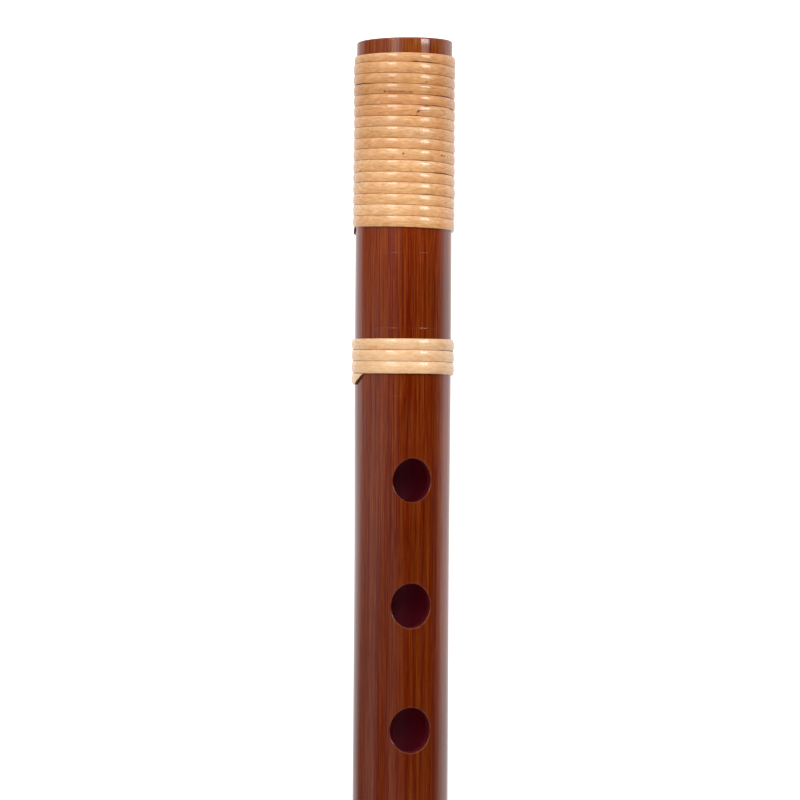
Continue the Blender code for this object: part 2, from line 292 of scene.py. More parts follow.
caneFinish = {
    "darkLine": (0.055, 0.0032, 0.0003),
    "deep": (0.110, 0.0064, 0.0003),
    "middle": (0.148, 0.0140, 0.0006),
    "light": (0.188, 0.0262, 0.0013),
    "brightest": (0.236, 0.046, 0.0040),
    "paleLine": (0.225, 0.072, 0.042),
    "rim": (0.95, 1.45, 1.6),                 # the lacquer is browner on the rim
    "rimSpan": (5.0 * mm, 2.5 * mm),
    # each layer of grain, per metre: along, across, its share
    "lines": (20.0, 6600.0, 0.45),
    "bands": (8.0, 700.0, 0.15),
    "fibres": (150.0, 10000.0, 0.40),
    "waver": 0.6,
    "roughness": 0.057,
    "waveHeight": 0.018 * mm,
    "lineHeight": 0.35,                      # as a share of the wave
    # single streaks on the side that shows: from and to station, angle, width, colour, share
    "streaks": (
        (-3.0, 7.0, 18.0, 9.0, "darkLine", 0.35), (-3.0, 7.0, 31.0, 12.0, "darkLine", 0.25),
        (34.0, 68.0, -12.7, 2.6, "darkLine", 0.50), (68.0, 190.0, 3.4, 2.2, "darkLine", 0.34),
        (84.0, 190.0, 13.4, 2.2, "darkLine", 0.30), (30.0, 96.0, 24.8, 2.6, "darkLine", 0.40),
        (66.0, 118.0, -25.6, 2.6, "darkLine", 0.26), (26.0, 112.0, -45.9, 2.8, "darkLine", 0.22),
        (36.0, 50.0, -29.8, 2.0, "darkLine", 0.35), (112.0, 190.0, -16.6, 2.4, "darkLine", 0.22),
        (34.0, 56.0, -17.6, 2.2, "brightest", 0.65), (32.0, 70.0, 16.9, 2.4, "brightest", 0.50),
        (70.0, 190.0, 7.8, 2.6, "brightest", 0.40), (30.0, 66.0, -39.2, 2.6, "brightest", 0.35),
        (82.0, 140.0, -13.1, 2.2, "brightest", 0.30), (118.0, 190.0, 18.5, 2.2, "brightest", 0.30),
    ),
    "twist": 18.0,                           # degrees that the fibres turn in a metre
    "sideSheen": (1.40, 1.60, 2.0),           # painted sheen: the lacquer is paler on one side
    "sheenFrom": (34.0, 45.0),                # by angle, and by station
    "sheenAlong": ((62.0 * mm, 0.0), (74.0 * mm, 1.0), (118.0 * mm, 1.0), (145.0 * mm, 0.3),
                  (300.0 * mm, 0.3)),
    # the lacquer is lighter towards the foot end: station, level
    "levels": ((0.0, 1.30), (12.0 * mm, 1.24), (38.0 * mm, 1.10), (52.0 * mm, 1.01),
               (76.0 * mm, 0.83), (106.0 * mm, 0.80), (132.0 * mm, 0.72), (160.0 * mm, 0.70),
               (300.0 * mm, 0.90)),
}


def makeLacqueredCane():
    look = caneFinish
    material, tree, shader, place = newMaterial("lacqueredCane", look["middle"])
    layers = []
    for name, detail in (("lines", 4.0), ("bands", 2.0), ("fibres", 3.0)):
        along, across, share = look[name]
        layers.append(useGroup(
            tree, lengthGrain,
            Vector=place, Along=along, Across=across, Detail=detail, Waver=look["waver"],
        ))
    lines, bands, fibres = layers
    grain = calc(tree, "MULTIPLY", lines["Grain"], look["lines"][2])
    grain = calc(tree, "MULTIPLY_ADD", bands["Grain"], look["bands"][2], grain)
    grain = calc(tree, "MULTIPLY_ADD", fibres["Grain"], look["fibres"][2], grain)
    cloud = useGroup(tree, cloudyTone, Vector=place, Scale=35.0, Depth=0.5)
    color = colorSteps(
        tree, grain,
        [(0.33, look["deep"]), (0.44, look["middle"]), (0.55, look["light"]),
         (0.66, look["brightest"])],
    )
    color = blendColors(tree, calc(tree, "MULTIPLY", lines["Lines"], 0.7), color, look["darkLine"])
    color = blendColors(tree, calc(tree, "MULTIPLY", lines["Pale"], 0.7), color, look["paleLine"])
    parts = placeNode(tree, "ShaderNodeSeparateXYZ", {0: place}).outputs
    station = calc(tree, "SUBTRACT", parts[0], footX)
    height = calc(tree, "SUBTRACT", parts[2], axisZ)
    angle = calc(tree, "DEGREES", calc(tree, "ARCTAN2", parts[1], height))
    along = calc(tree, "DIVIDE", station, mm)
    askew = calc(tree, "MULTIPLY_ADD", station, -look["twist"], angle)
    uneven = remap(tree, fibres["Grain"], 0.0, 1.0, 0.6, 1.3)
    for first, last, at, width, shade, share in look["streaks"]:
        middle = (first + last) / 2
        streak = useGroup(
            tree, stripFleck,
            Along=along, Across=askew, AtAlong=middle, AtAcross=at - look["twist"] * middle * mm,
            Length=(last - first) / 1.2, Width=width,
        )["Fleck"]
        streak = calc(tree, "MULTIPLY", calc(tree, "MULTIPLY", streak, share), uneven)
        color = blendColors(tree, streak, color, look[shade])
    level = calc(tree, "MULTIPLY", valueSteps(tree, station, look["levels"]), cloud["Tone"])
    grey = placeNode(tree, "ShaderNodeCombineColor", {0: level, 1: level, 2: level}).outputs[0]
    color = blendColors(tree, 1.0, color, grey, "MULTIPLY")
    atRim = remap(tree, station, *look["rimSpan"])
    color = blendColors(tree, atRim, color, look["rim"], "MULTIPLY")
    # painted sheen on one side of the cane, by angle and by station
    pale = remap(tree, angle, *look["sheenFrom"])
    pale = calc(tree, "MULTIPLY", pale, valueSteps(tree, station, look["sheenAlong"]))
    color = blendColors(tree, pale, color, look["sideSheen"], "MULTIPLY")
    dust = useGroup(tree, sparseSpecks, Vector=place, Scale=260.0, Size=0.05, Share=0.06)
    rough = calc(tree, "MULTIPLY", cloud["Tone"], look["roughness"])
    rough = calc(tree, "MULTIPLY_ADD", dust["Specks"], 0.3, rough)
    wave = calc(tree, "MULTIPLY_ADD", lines["Grain"], look["lineHeight"], bands["Grain"])
    setSurface(tree, shader, color, rough, wave, look["waveHeight"], 0.35)
    shader.inputs["Specular IOR Level"].default_value = 0.38
    return material


boreFinish = {
    "deep": (0.36, 0.011, 0.046),
    "light": (0.45, 0.017, 0.060),
    "wall": (0.10, 0.0030, 0.0065),          # the walls of the holes, darker than the bore
    "wallSpan": (7.02 * mm, 7.12 * mm),       # from the axis
    "edge": (0.31, 0.105, 0.066),            # where the lacquer is worn thin, with a painted highlight on the rounded rim of each hole
    "edgeSpan": (9.68 * mm, 9.90 * mm),
    "roughness": 0.46,
}


def makeBoreLacquer():
    look = boreFinish
    material, tree, shader, place = newMaterial("boreLacquer", look["light"])
    grain = useGroup(tree, lengthGrain, Vector=place, Along=40.0, Across=900.0, Detail=3.0)
    cloud = useGroup(tree, cloudyTone, Vector=place, Scale=90.0, Depth=0.6)
    color = blendColors(tree, grain["Grain"], look["deep"], look["light"])
    parts = placeNode(tree, "ShaderNodeSeparateXYZ", {0: place}).outputs
    height = calc(tree, "SUBTRACT", parts[2], axisZ)
    square = calc(tree, "MULTIPLY_ADD", parts[1], parts[1], calc(tree, "MULTIPLY", height, height))
    out = calc(tree, "SQRT", square)
    color = blendColors(tree, remap(tree, out, *look["wallSpan"]), color, look["wall"])
    # worn lacquer, and a painted highlight on the rounded rim of each hole
    wornAndLitRim = remap(tree, out, *look["edgeSpan"])
    color = blendColors(tree, wornAndLitRim, color, look["edge"])
    rough = calc(tree, "MULTIPLY", cloud["Tone"], remap(tree, wornAndLitRim, 0.0, 1.0, look["roughness"], 0.2))
    setSurface(tree, shader, color, rough, grain["Grain"], 0.02 * mm, 0.4)
    return material


def makeEndGrain():
    # the cut end: pores of the cane's bundles, under lacquer
    material, tree, shader, place = newMaterial("caneEndGrain", (0.16, 0.03, 0.008))
    pores = useGroup(tree, sparseSpecks, Vector=place, Scale=2300.0, Size=0.42, Share=0.55)
    cloud = useGroup(tree, cloudyTone, Vector=place, Scale=500.0, Depth=0.5)
    color = blendColors(tree, pores["Specks"], (0.215, 0.050, 0.012), (0.075, 0.012, 0.004))
    rough = calc(tree, "MULTIPLY", cloud["Tone"], 0.36)
    height = calc(tree, "SUBTRACT", 1.0, pores["Specks"])
    setSurface(tree, shader, color, rough, height, 0.05 * mm, 0.7)
    return material


rattanFinish = {
    "light": (0.725, 0.418, 0.205),
    "middle": (0.680, 0.361, 0.153),
    "warm": (0.628, 0.285, 0.094),
    "dark": (0.46, 0.205, 0.070),
    "edge": (0.32, 0.115, 0.012),
    "cut": (0.060, 0.016, 0.002),
    "olive": (0.57, 0.345, 0.145),
    "rosy": (0.75, 0.345, 0.165),
    "pale": (0.682, 0.413, 0.218),
    "paleTone": (0.05, 0.12),    # the lightest strips are paler too
    # painted shade: the strips darken to the sides: angle, level
    "sideShade": ((-180.0, 0.90), (-98.0, 0.88), (-77.0, 0.945), (-60.0, 0.985), (-45.0, 1.0),
                   (24.0, 1.0), (34.0, 0.98), (51.0, 0.94), (180.0, 0.90)),
    # painted shade: the darker strips are warmer and darker on one side: angle, share
    "warmSideShade": (1.0, 0.94, 0.90),
    "warmShadeAround": ((-180.0, 0.0), (14.0, 0.0), (30.0, 1.0), (42.0, 1.0), (60.0, 0.4),
                   (120.0, 0.0), (180.0, 0.0)),
    "turnLength": 66.0,          # millimetres of strip in a turn
    "stripWidth": 2.25,
    "shadeSpan": (0.1, 0.72),    # painted shade: each turn darkens across its width
    "shade": 0.945,
    "deepening": (1.0, 1.5, 2.0),       # a darker place is warmer too: power of each colour
    "mottling": (0.85, 1.7, 2.8),
    "mottleDepth": 0.19,                # and how much less it is on a pale strip
    "mottleLess": 0.09,
    "roughness": 0.36,
    "coat": 0.50,
    "fibreDepth": 0.010 * mm,
    # natural flecks of the foot strips: turn, angle, place across, length, width, colour, share
    "flecks": (
        (3, 13.4, 0.80, 0.9, 0.4, "cut", 0.45), (4, -20.0, 0.82, 7.8, 0.6, "dark", 0.75),
        (4, -34.5, 0.80, 0.7, 0.4, "cut", 0.75), (4, -28.0, 0.84, 1.3, 0.30, "cut", 0.35),
        (4, -22.5, 0.80, 0.9, 0.30, "cut", 0.30), (4, -15.0, 0.80, 1.5, 0.30, "cut", 0.40),
        (4, -5.0, 0.81, 0.9, 0.3, "cut", 0.50), (15, -50.0, 0.45, 15.0, 3.4, "light", 0.90),
        (6, 13.7, 0.10, 1.5, 0.36, "cut", 0.60), (6, 10.0, 0.82, 0.4, 0.3, "cut", 0.45),
        (6, 9.0, 0.67, 2.4, 0.9, "rosy", 0.75), (6, 15.5, 0.88, 1.4, 0.6, "olive", 0.50),
        (8, -55.0, 0.62, 16.0, 1.7, "olive", 0.42), (8, 5.0, 0.50, 9.0, 3.2, "pale", 0.70),
        (6, 36.0, 0.50, 8.0, 3.0, "light", 0.70), (7, -34.0, 0.50, 9.0, 3.0, "pale", 0.50),
        (10, -13.0, 0.46, 0.45, 0.5, "cut", 0.80), (10, 35.0, 0.42, 0.6, 0.45, "cut", 0.80),
        (10, 38.7, 0.46, 0.4, 0.5, "cut", 0.70), (10, 46.0, 0.50, 0.5, 0.5, "cut", 0.40),
        (11, -72.0, 0.90, 0.9, 0.4, "cut", 0.55), (11, -4.0, 0.90, 0.7, 0.4, "cut", 0.35),
        (14, 42.0, 0.60, 0.4, 0.4, "cut", 0.35), (41, -78.0, 0.30, 0.8, 0.9, "dark", 0.50),
        (41, -69.0, 0.72, 0.7, 0.7, "dark", 0.50), (41, -48.0, 0.80, 3.2, 0.7, "warm", 0.80),
        (42, -5.0, 0.30, 1.6, 0.6, "warm", 0.60),
    ),
}


def makeRattan():
    look = rattanFinish
    material, tree, shader, place = newMaterial("rattanStrip", look["middle"])

    def reading(name):
        return placeNode(tree, "ShaderNodeAttribute", attribute_name=name).outputs["Fac"]

    along, across, tone, blush, cut = (
        reading(name) for name in ("along", "across", "tone", "blush", "cut")
    )
    x = calc(tree, "MULTIPLY", along, look["turnLength"])
    y = calc(tree, "MULTIPLY", across, look["stripWidth"])
    onStrip = placeNode(tree, "ShaderNodeCombineXYZ", {"X": x, "Y": y, "Z": tone}).outputs[0]
    parts = placeNode(tree, "ShaderNodeSeparateXYZ", {0: place}).outputs
    angle = calc(tree, "ARCTAN2", parts[1], calc(tree, "SUBTRACT", parts[2], axisZ))
    angle = calc(tree, "DEGREES", angle)
    fibre = useGroup(
        tree, lengthGrain, Vector=onStrip, Along=0.16, Across=5.5, Detail=5.0, Waver=2.0
    )
    broad = useGroup(tree, lengthGrain, Vector=onStrip, Along=0.05, Across=1.1, Detail=2.0)
    dashes = useGroup(tree, lengthGrain, Vector=onStrip, Along=0.8, Across=4.2, Detail=2.0)
    cloud = useGroup(tree, cloudyTone, Vector=onStrip, Scale=0.14, Depth=0.34)
    mottle = useGroup(tree, lengthGrain, Vector=onStrip, Along=0.6, Across=2.8, Detail=4.0)
    specks = useGroup(tree, sparseSpecks, Vector=onStrip, Scale=1.1, Size=0.10, Share=0.05)
    stains = useGroup(tree, sparseSpecks, Vector=onStrip, Scale=0.11, Size=0.35, Share=0.10)
    color = blendColors(tree, broad["Grain"], look["middle"], look["light"])
    paleStrip = remap(tree, tone, *look["paleTone"])
    color = blendColors(tree, paleStrip, color, look["pale"])
    color = blendColors(tree, remap(tree, blush, 0.0, 1.0), color, look["rosy"])
    color = blendColors(tree, remap(tree, blush, 0.0, -1.0), color, look["olive"])
    # the lower half of the strip is warmer, a painted shade; the darker turns and patches are warmer in
    # their own colour
    patch = useGroup(tree, lengthGrain, Vector=onStrip, Along=0.55, Across=0.9, Detail=4.0)
    warm = calc(tree, "MULTIPLY", remap(tree, across, 0.35, 0.85), 0.30)
    warm = calc(tree, "MULTIPLY_ADD", tone, -2.4, warm)
    warm = calc(tree, "MULTIPLY_ADD", patch["Grain"], 0.14, warm)
    warm = calc(tree, "MAXIMUM", warm, 0.0)
    color = blendColors(tree, warm, color, look["warm"])
    streak = calc(tree, "MULTIPLY", fibre["Lines"], 0.60)
    streak = calc(tree, "MULTIPLY_ADD", dashes["Lines"], 0.46, streak)
    color = blendColors(tree, streak, color, look["dark"])
    # the joint darkens unevenly: the strip's own browner edge, with a painted shade that is stronger on
    # the lower edge
    side = calc(tree, "ABSOLUTE", calc(tree, "MULTIPLY_ADD", across, 2.0, -1.0))
    edge = calc(tree, "MULTIPLY", remap(tree, side, 0.88, 1.0), remap(tree, across, 0.0, 1.0, 0.25, 0.6))
    edge = calc(tree, "MULTIPLY", edge, remap(tree, dashes["Grain"], 0.0, 1.0, 0.5, 1.5))
    color = blendColors(tree, edge, color, look["edge"])
    for turn, around, at, length, width, shade, share in look["flecks"]:
        fleck = useGroup(
            tree, stripFleck,
            Along=along, Across=across, AtAlong=turn - 1 + around / 360.0, AtAcross=at,
            Length=length / look["turnLength"], Width=width / look["stripWidth"],
        )["Fleck"]
        color = blendColors(tree, calc(tree, "MULTIPLY", fleck, share), color, look[shade])
    color = blendColors(tree, calc(tree, "MULTIPLY", specks["Specks"], 0.7), color, look["cut"])
    stain = calc(tree, "MULTIPLY", stains["Specks"], 0.35)
    color = blendColors(tree, stain, color, look["olive"])
    level = calc(tree, "MULTIPLY", cloud["Tone"], calc(tree, "ADD", tone, 1.0))
    # painted shade: each turn darker away from its near edge
    level = calc(tree, "MULTIPLY", level, remap(tree, across, *look["shadeSpan"], 1.0, look["shade"]))
    swing = calc(tree, "MULTIPLY_ADD", paleStrip, -look["mottleLess"], look["mottleDepth"])
    mottled = calc(tree, "MULTIPLY_ADD", mottle["Grain"], 2.0, -1.0)
    mottled = calc(tree, "MULTIPLY_ADD", mottled, swing, 1.0)
    for value, powers in ((level, look["deepening"]), (mottled, look["mottling"])):
        shares = [calc(tree, "POWER", value, power) for power in powers]
        depth = placeNode(tree, "ShaderNodeCombineColor", dict(enumerate(shares))).outputs[0]
        color = blendColors(tree, 1.0, color, depth, "MULTIPLY")
    # painted shade towards the sides
    aside = valueSteps(tree, angle, look["sideShade"])
    aside = placeNode(tree, "ShaderNodeCombineColor", {0: aside, 1: aside, 2: aside}).outputs[0]
    color = blendColors(tree, 1.0, color, aside, "MULTIPLY")
    # painted warm shade on one side, less on the pale strips
    warmShadeShare = valueSteps(tree, angle, look["warmShadeAround"])
    warmShadeShare = calc(tree, "MULTIPLY", warmShadeShare, calc(tree, "SUBTRACT", 1.0, paleStrip))
    color = blendColors(tree, warmShadeShare, color, look["warmSideShade"], "MULTIPLY")
    # a cut edge is dark for a quarter of a millimetre, and frayed: its bare fibre, and a painted shadow
    # of the cut end
    frayed = calc(tree, "MULTIPLY_ADD", patch["Grain"], 0.14, calc(tree, "SUBTRACT", cut, 0.07))
    frayed = remap(tree, frayed, 0.76, 0.90)
    color = blendColors(tree, calc(tree, "MULTIPLY", frayed, 0.92), color, look["cut"])
    rough = calc(tree, "MULTIPLY", cloud["Tone"], look["roughness"])
    rough = calc(tree, "MULTIPLY_ADD", frayed, 0.4, rough, clamp=True)
    setSurface(tree, shader, color, rough, fibre["Grain"], look["fibreDepth"], 0.35)
    # the glaze is missing on a cut edge
    glaze = calc(tree, "MULTIPLY", calc(tree, "SUBTRACT", 1.0, frayed), look["coat"])
    tree.links.new(glaze, shader.inputs["Coat Weight"])
    shader.inputs["Specular IOR Level"].default_value = 0.20
    shader.inputs["Coat Roughness"].default_value = 0.11
    return material


def makeCork():
    material, tree, shader, place = newMaterial("corkStopper", (0.48, 0.30, 0.16))
    cells = useGroup(tree, sparseSpecks, Vector=place, Scale=900.0, Size=0.5, Share=0.45)
    pits = useGroup(tree, sparseSpecks, Vector=place, Scale=320.0, Size=0.22, Share=0.25)
    cloud = useGroup(tree, cloudyTone, Vector=place, Scale=180.0, Depth=0.4)
    color = blendColors(tree, cells["Specks"], (0.50, 0.32, 0.17), (0.36, 0.21, 0.10))
    color = blendColors(tree, pits["Specks"], color, (0.12, 0.06, 0.03))
    rough = calc(tree, "MULTIPLY", cloud["Tone"], 0.85, clamp=True)
    height = calc(tree, "SUBTRACT", 1.0, pits["Specks"])
    setSurface(tree, shader, color, rough, height, 0.15 * mm, 0.8)
    return material


def makeWax():
    material, tree, shader, place = newMaterial("sealingWax", (0.62, 0.40, 0.14))
    cloud = useGroup(tree, cloudyTone, Vector=place, Scale=220.0, Depth=0.5)
    specks = useGroup(tree, sparseSpecks, Vector=place, Scale=1500.0, Size=0.2, Share=0.12)
    level = remap(tree, cloud["Tone"], 0.85, 1.15)
    color = blendColors(tree, level, (0.54, 0.33, 0.10), (0.68, 0.46, 0.18))
    color = blendColors(tree, specks["Specks"], color, (0.30, 0.17, 0.06))
    rough = calc(tree, "MULTIPLY", cloud["Tone"], 0.42)
    setSurface(tree, shader, color, rough, cloud["Tone"], 0.2 * mm, 0.6)
    return material


def makePaper():
    material, tree, shader, place = newMaterial("rolledPaper", (0.70, 0.66, 0.56))
    fibre = useGroup(tree, lengthGrain, Vector=place, Along=900.0, Across=400.0, Detail=5.0)
    cloud = useGroup(tree, cloudyTone, Vector=place, Scale=250.0, Depth=0.3)
    color = blendColors(tree, fibre["Grain"], (0.64, 0.59, 0.48), (0.76, 0.73, 0.64))
    rough = calc(tree, "MULTIPLY", cloud["Tone"], 0.88, clamp=True)
    setSurface(tree, shader, color, rough, fibre["Grain"], 0.05 * mm, 0.6)
    return material


def makeCapWood():
    material, tree, shader, place = newMaterial("lacqueredCap", (0.10, 0.012, 0.006))
    grain = useGroup(tree, lengthGrain, Vector=place, Along=1600.0, Across=240.0, Detail=4.0)
    cloud = useGroup(tree, cloudyTone, Vector=place, Scale=120.0, Depth=0.5)
    color = blendColors(tree, grain["Grain"], (0.065, 0.007, 0.003), (0.15, 0.020, 0.008))
    color = blendColors(tree, calc(tree, "MULTIPLY", grain["Lines"], 0.5), color, (0.03, 0.003, 0.002))
    rough = calc(tree, "MULTIPLY", cloud["Tone"], 0.18)
    setSurface(tree, shader, color, rough, grain["Grain"], 0.02 * mm, 0.4)
    return material


lacqueredCane = makeLacqueredCane()
boreLacquer = makeBoreLacquer()
caneEndGrain = makeEndGrain()
rattanStrip = makeRattan()
corkStopper = makeCork()
sealingWax = makeWax()
rolledPaper = makePaper()
lacqueredCap = makeCapWood()
print("materials made")


def addPiece(name, mesh, materials, slot, *nodes):
    if not mesh.materials:
        for material in materials:
            mesh.materials.append(material)
    piece = bpy.data.objects.new(name, mesh)
    bpy.context.scene.collection.objects.link(piece)
    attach(piece, "root")
    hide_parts(*nodes)
    return piece


# the cane
cane = {
    "girths": (
        (0.0, 10.13 * mm), (30.0 * mm, 10.15 * mm), (60.0 * mm, 10.20 * mm),
        (118.0 * mm, 10.03 * mm), (165.0 * mm, 10.08 * mm), (tubeLength, 10.2 * mm),
    ),
    "waver": 0.018 * mm,
    # faint rings marked on the growing cane: station, height, seed of its broken stretches
    "ringMarks": ((45.0 * mm, 0.006 * mm, 20.0), (60.7 * mm, 0.016 * mm, 5.0),
                  (74.9 * mm, 0.007 * mm, 0.0), (300.0 * mm, 0.020 * mm, 60.0)),
    "ringWidth": 0.065 * mm,
    "endSlant": 1.0,                         # degrees that the foot end is off square, sideways
    "slantDepth": 2.5 * mm,
    "boreRadius": 7.0 * mm,
    "sides": 256,
    "ringStep": 2.0 * mm,
    "endRounding": 0.4 * mm,
    "boreEdge": 0.3 * mm,
    "roundingSteps": 5,
    "fingerHole": (9.05 * mm, 8.0 * mm, 3.0),     # length, width, lean in degrees
    "mouthHole": (12.5 * mm, 10.5 * mm, 0.0),
    # by hand, each hole that shows came out a little off: moved along and sideways, longer, wider
    "handShifts": {
        "finger_hole_1": (0.107 * mm, 0.136 * mm, 0.048 * mm, 0.0),
        "finger_hole_2": (0.217 * mm, 0.057 * mm, 0.238 * mm, 0.269 * mm),
        "finger_hole_3": (0.101 * mm, 0.069 * mm, 0.336 * mm, 0.475 * mm),
    },
    "holeEdge": 0.27 * mm,
    "handCut": 0.05 * mm,                         # how far a hole's outline strays
    "holePoints": 96,
}


caneMaterials = (lacqueredCane, boreLacquer, caneEndGrain)     # in the order of the faces


def caneRadius(station, angle):
    turn = math.radians(angle)
    around = Vector((math.cos(turn), math.sin(turn), 0.0))
    place = around * 0.7 + Vector((0.0, 0.0, station / (34.0 * mm)))
    radius = easedAlong(cane["girths"], station) + cane["waver"] * noise.noise(place)
    for ring, height, seed in cane["ringMarks"]:
        away = (station - ring) / cane["ringWidth"]
        if abs(away) < 3.0:
            broken = noise.noise(around * 2.2 + Vector((0.0, 0.0, ring / mm + seed)))
            radius += height * smoothStep(0.75 + 1.2 * broken) * math.exp(-away * away)
    return radius


def slantedEnd(point, station):
    # the foot end was sawn a little off square
    share = 1.0 - smoothStep(station / cane["slantDepth"])
    point.x -= share * math.tan(math.radians(cane["endSlant"])) * point.y
    return point


def caneNormal(station, angle):
    step = 0.02 * mm
    degrees = 1.0
    radius = caneRadius(station, angle)
    slope = (caneRadius(station + step, angle) - caneRadius(station - step, angle)) / (2 * step)
    swing = caneRadius(station, angle + degrees) - caneRadius(station, angle - degrees)
    swing /= 2 * math.radians(degrees) * radius
    turn = math.radians(angle)
    outward = Vector((0.0, math.sin(turn), math.cos(turn)))
    sideways = Vector((0.0, math.cos(turn), -math.sin(turn)))
    return (outward - slope * Vector((1.0, 0.0, 0.0)) - swing * sideways).normalized()


def roundedCorner(size, steps):
    # (in from the face, in from the side) round a quarter circle
    places = []
    for index in range(steps + 1):
        turn = math.pi / 2 * index / steps
        places.append((size * (1.0 - math.sin(turn)), size * (1.0 - math.cos(turn))))
    return places


def caneRings():
    # each ring: station, and its offset from the outside or from the bore radius
    corner = roundedCorner(cane["endRounding"], cane["roundingSteps"])
    inner = roundedCorner(cane["boreEdge"], cane["roundingSteps"])
    length = tubeLength
    count = int((length - 2 * cane["endRounding"]) / cane["ringStep"])
    start = cane["endRounding"]
    span = length - 2 * start
    outside = [(faceIn, -sideIn) for faceIn, sideIn in reversed(corner)]
    middles = [start + span * index / count for index in range(1, count)]
    for ring, height, seed in cane["ringMarks"]:
        middles = [station for station in middles if abs(station - ring) > 0.6 * mm]
        middles += [ring + cane["ringWidth"] * share / 3 for share in range(-7, 8)]
    outside += [(station, 0.0) for station in sorted(middles)]
    outside += [(length - faceIn, -sideIn) for faceIn, sideIn in corner]
    bore = [(length - faceIn, sideIn) for faceIn, sideIn in reversed(inner)]
    bore += [(length * index / 24, 0.0) for index in range(23, 0, -1)]
    bore += [(faceIn, sideIn) for faceIn, sideIn in inner]
    return outside, bore


def caneMesh():
    outside, bore = caneRings()
    sides = cane["sides"]
    mesh = bmesh.new()
    loops = []
    for kind, rings in (("outside", outside), ("bore", bore)):
        for station, offset in rings:
            loop = []
            for index in range(sides):
                angle = 360.0 * index / sides
                if kind == "outside":
                    radius = caneRadius(station, angle) + offset
                else:
                    radius = cane["boreRadius"] + offset
                loop.append(mesh.verts.new(slantedEnd(onTube(station, angle, radius), station)))
            loops.append(loop)
    firstBore = len(outside)
    for number, (loop, after) in enumerate(zip(loops, loops[1:] + loops[:1])):
        if number in (firstBore - 1, len(loops) - 1):
            kind = 2
        else:
            kind = 0 if number < firstBore else 1
        for index in range(sides):
            beside = (index + 1) % sides
            face = mesh.faces.new((loop[index], loop[beside], after[beside], after[index]))
            face.material_index = kind
            face.smooth = True
    bmesh.ops.recalc_face_normals(mesh, faces=mesh.faces)
    data = bpy.data.meshes.new("caneBlank")
    mesh.to_mesh(data)
    mesh.free()
    return data


def holeCutter(mesh, middle, aside, length, width, lean):
    # oval cutter from the axis upwards, rounded over where it meets the outside
    edge = cane["holeEdge"]
    steps = 6
    surface = caneRadius(middle, 0.0)
    bands = [(0.0, None)]
    for index in range(steps):
        turn = math.radians(80.0) * index / (steps - 1)
        bands.append((edge * (1.0 - math.cos(turn)), edge * (math.sin(turn) - 1.0)))
    bands.append((edge * 1.1, edge * 0.35))
    bands.append((edge * 1.4, 1.2 * mm))
    slant = math.radians(lean)
    loops = []
    for wider, rise in bands:
        loop = []
        for index in range(cane["holePoints"]):
            turn = math.tau * index / cane["holePoints"]
            outline = Vector((math.cos(turn), math.sin(turn), middle / (9.0 * mm)))
            stray = cane["handCut"] * noise.noise(outline * 1.4)
            along = (length / 2 + wider + stray) * math.cos(turn)
            side = (width / 2 + wider + stray) * math.sin(turn)
            x = middle + along * math.cos(slant) + side * math.sin(slant)
            y = aside + side * math.cos(slant) - along * math.sin(slant)
            height = 0.0 if rise is None else math.sqrt(surface ** 2 - y ** 2) + rise
            if rise is not None and rise > mm:
                height = surface + rise
            loop.append(mesh.verts.new(Vector((footX + x, y, axisZ + height))))
        loops.append(loop)
    for number, (loop, after) in enumerate(zip(loops, loops[1:])):
        count = len(loop)
        for index in range(count):
            beside = (index + 1) % count
            face = mesh.faces.new((loop[index], loop[beside], after[beside], after[index]))
            face.material_index = 1 if number == 0 else 0
            face.smooth = True
    mesh.faces.new(loops[0]).material_index = 1
    mesh.faces.new(loops[-1])


def boredCane():
    blank = bpy.data.objects.new("caneBlank", caneMesh())
    cutterMesh = bmesh.new()
    for opening in frame["record"]["physics"]["openings"]:
        low, high = opening["box_m"]
        middle = (low[0] + high[0]) / 2 - footX
        if opening["name"].startswith("finger_hole"):
            length, width, lean = cane["fingerHole"]
            noShift = (0.0, 0.0, 0.0, 0.0)
            forward, aside, longer, wider = cane["handShifts"].get(opening["name"], noShift)
            holeCutter(cutterMesh, middle + forward, aside, length + longer, width + wider, lean)
        elif opening["name"] == "mouth_hole":
            holeCutter(cutterMesh, middle, 0.0, *cane["mouthHole"])
    bmesh.ops.recalc_face_normals(cutterMesh, faces=cutterMesh.faces)
    cutterData = bpy.data.meshes.new("holeCutters")
    cutterMesh.to_mesh(cutterData)
    cutterMesh.free()
    cutter = bpy.data.objects.new("holeCutters", cutterData)
    for piece in (blank, cutter):
        bpy.context.scene.collection.objects.link(piece)
        for material in caneMaterials:
            piece.data.materials.append(material)
    cut = blank.modifiers.new("holes", "BOOLEAN")
    cut.operation = "DIFFERENCE"
    cut.object = cutter
    shown = blank.evaluated_get(bpy.context.evaluated_depsgraph_get())
    data = bpy.data.meshes.new_from_object(shown)
    data.name = "boredCane"
    for piece in (blank, cutter):
        bpy.data.objects.remove(piece, do_unlink=True)
    trueNormals(data)
    return data


def trueNormals(data):
    # the outside shades as the smooth cane it is, right up to the holes
    data.shade_smooth()
    data.set_sharp_from_angle(angle=math.radians(40.0))
    normals = [corner.vector.copy() for corner in data.corner_normals]
    onOutside = {}
    for vertex in data.vertices:
        x, y, z = vertex.co
        station, height = x - footX, z - axisZ
        angle = math.degrees(math.atan2(y, height))
        if abs(math.hypot(y, height) - caneRadius(station, angle)) < 0.012 * mm:
            if cane["endRounding"] < station < tubeLength - cane["endRounding"]:
                onOutside[vertex.index] = caneNormal(station, angle)
    for face in data.polygons:
        if face.material_index:
            continue
        corners = [onOutside.get(index) for index in face.vertices]
        if all(corners):
            for loop, normal in zip(face.loop_indices, corners):
                normals[loop] = normal
    data.normals_split_custom_set(normals)


caneData = boredCane()
addPiece("caneTube", caneData, caneMaterials, "lacquered_bamboo", "bamboo_tube")
print("cane bored:", len(caneData.polygons), "faces")


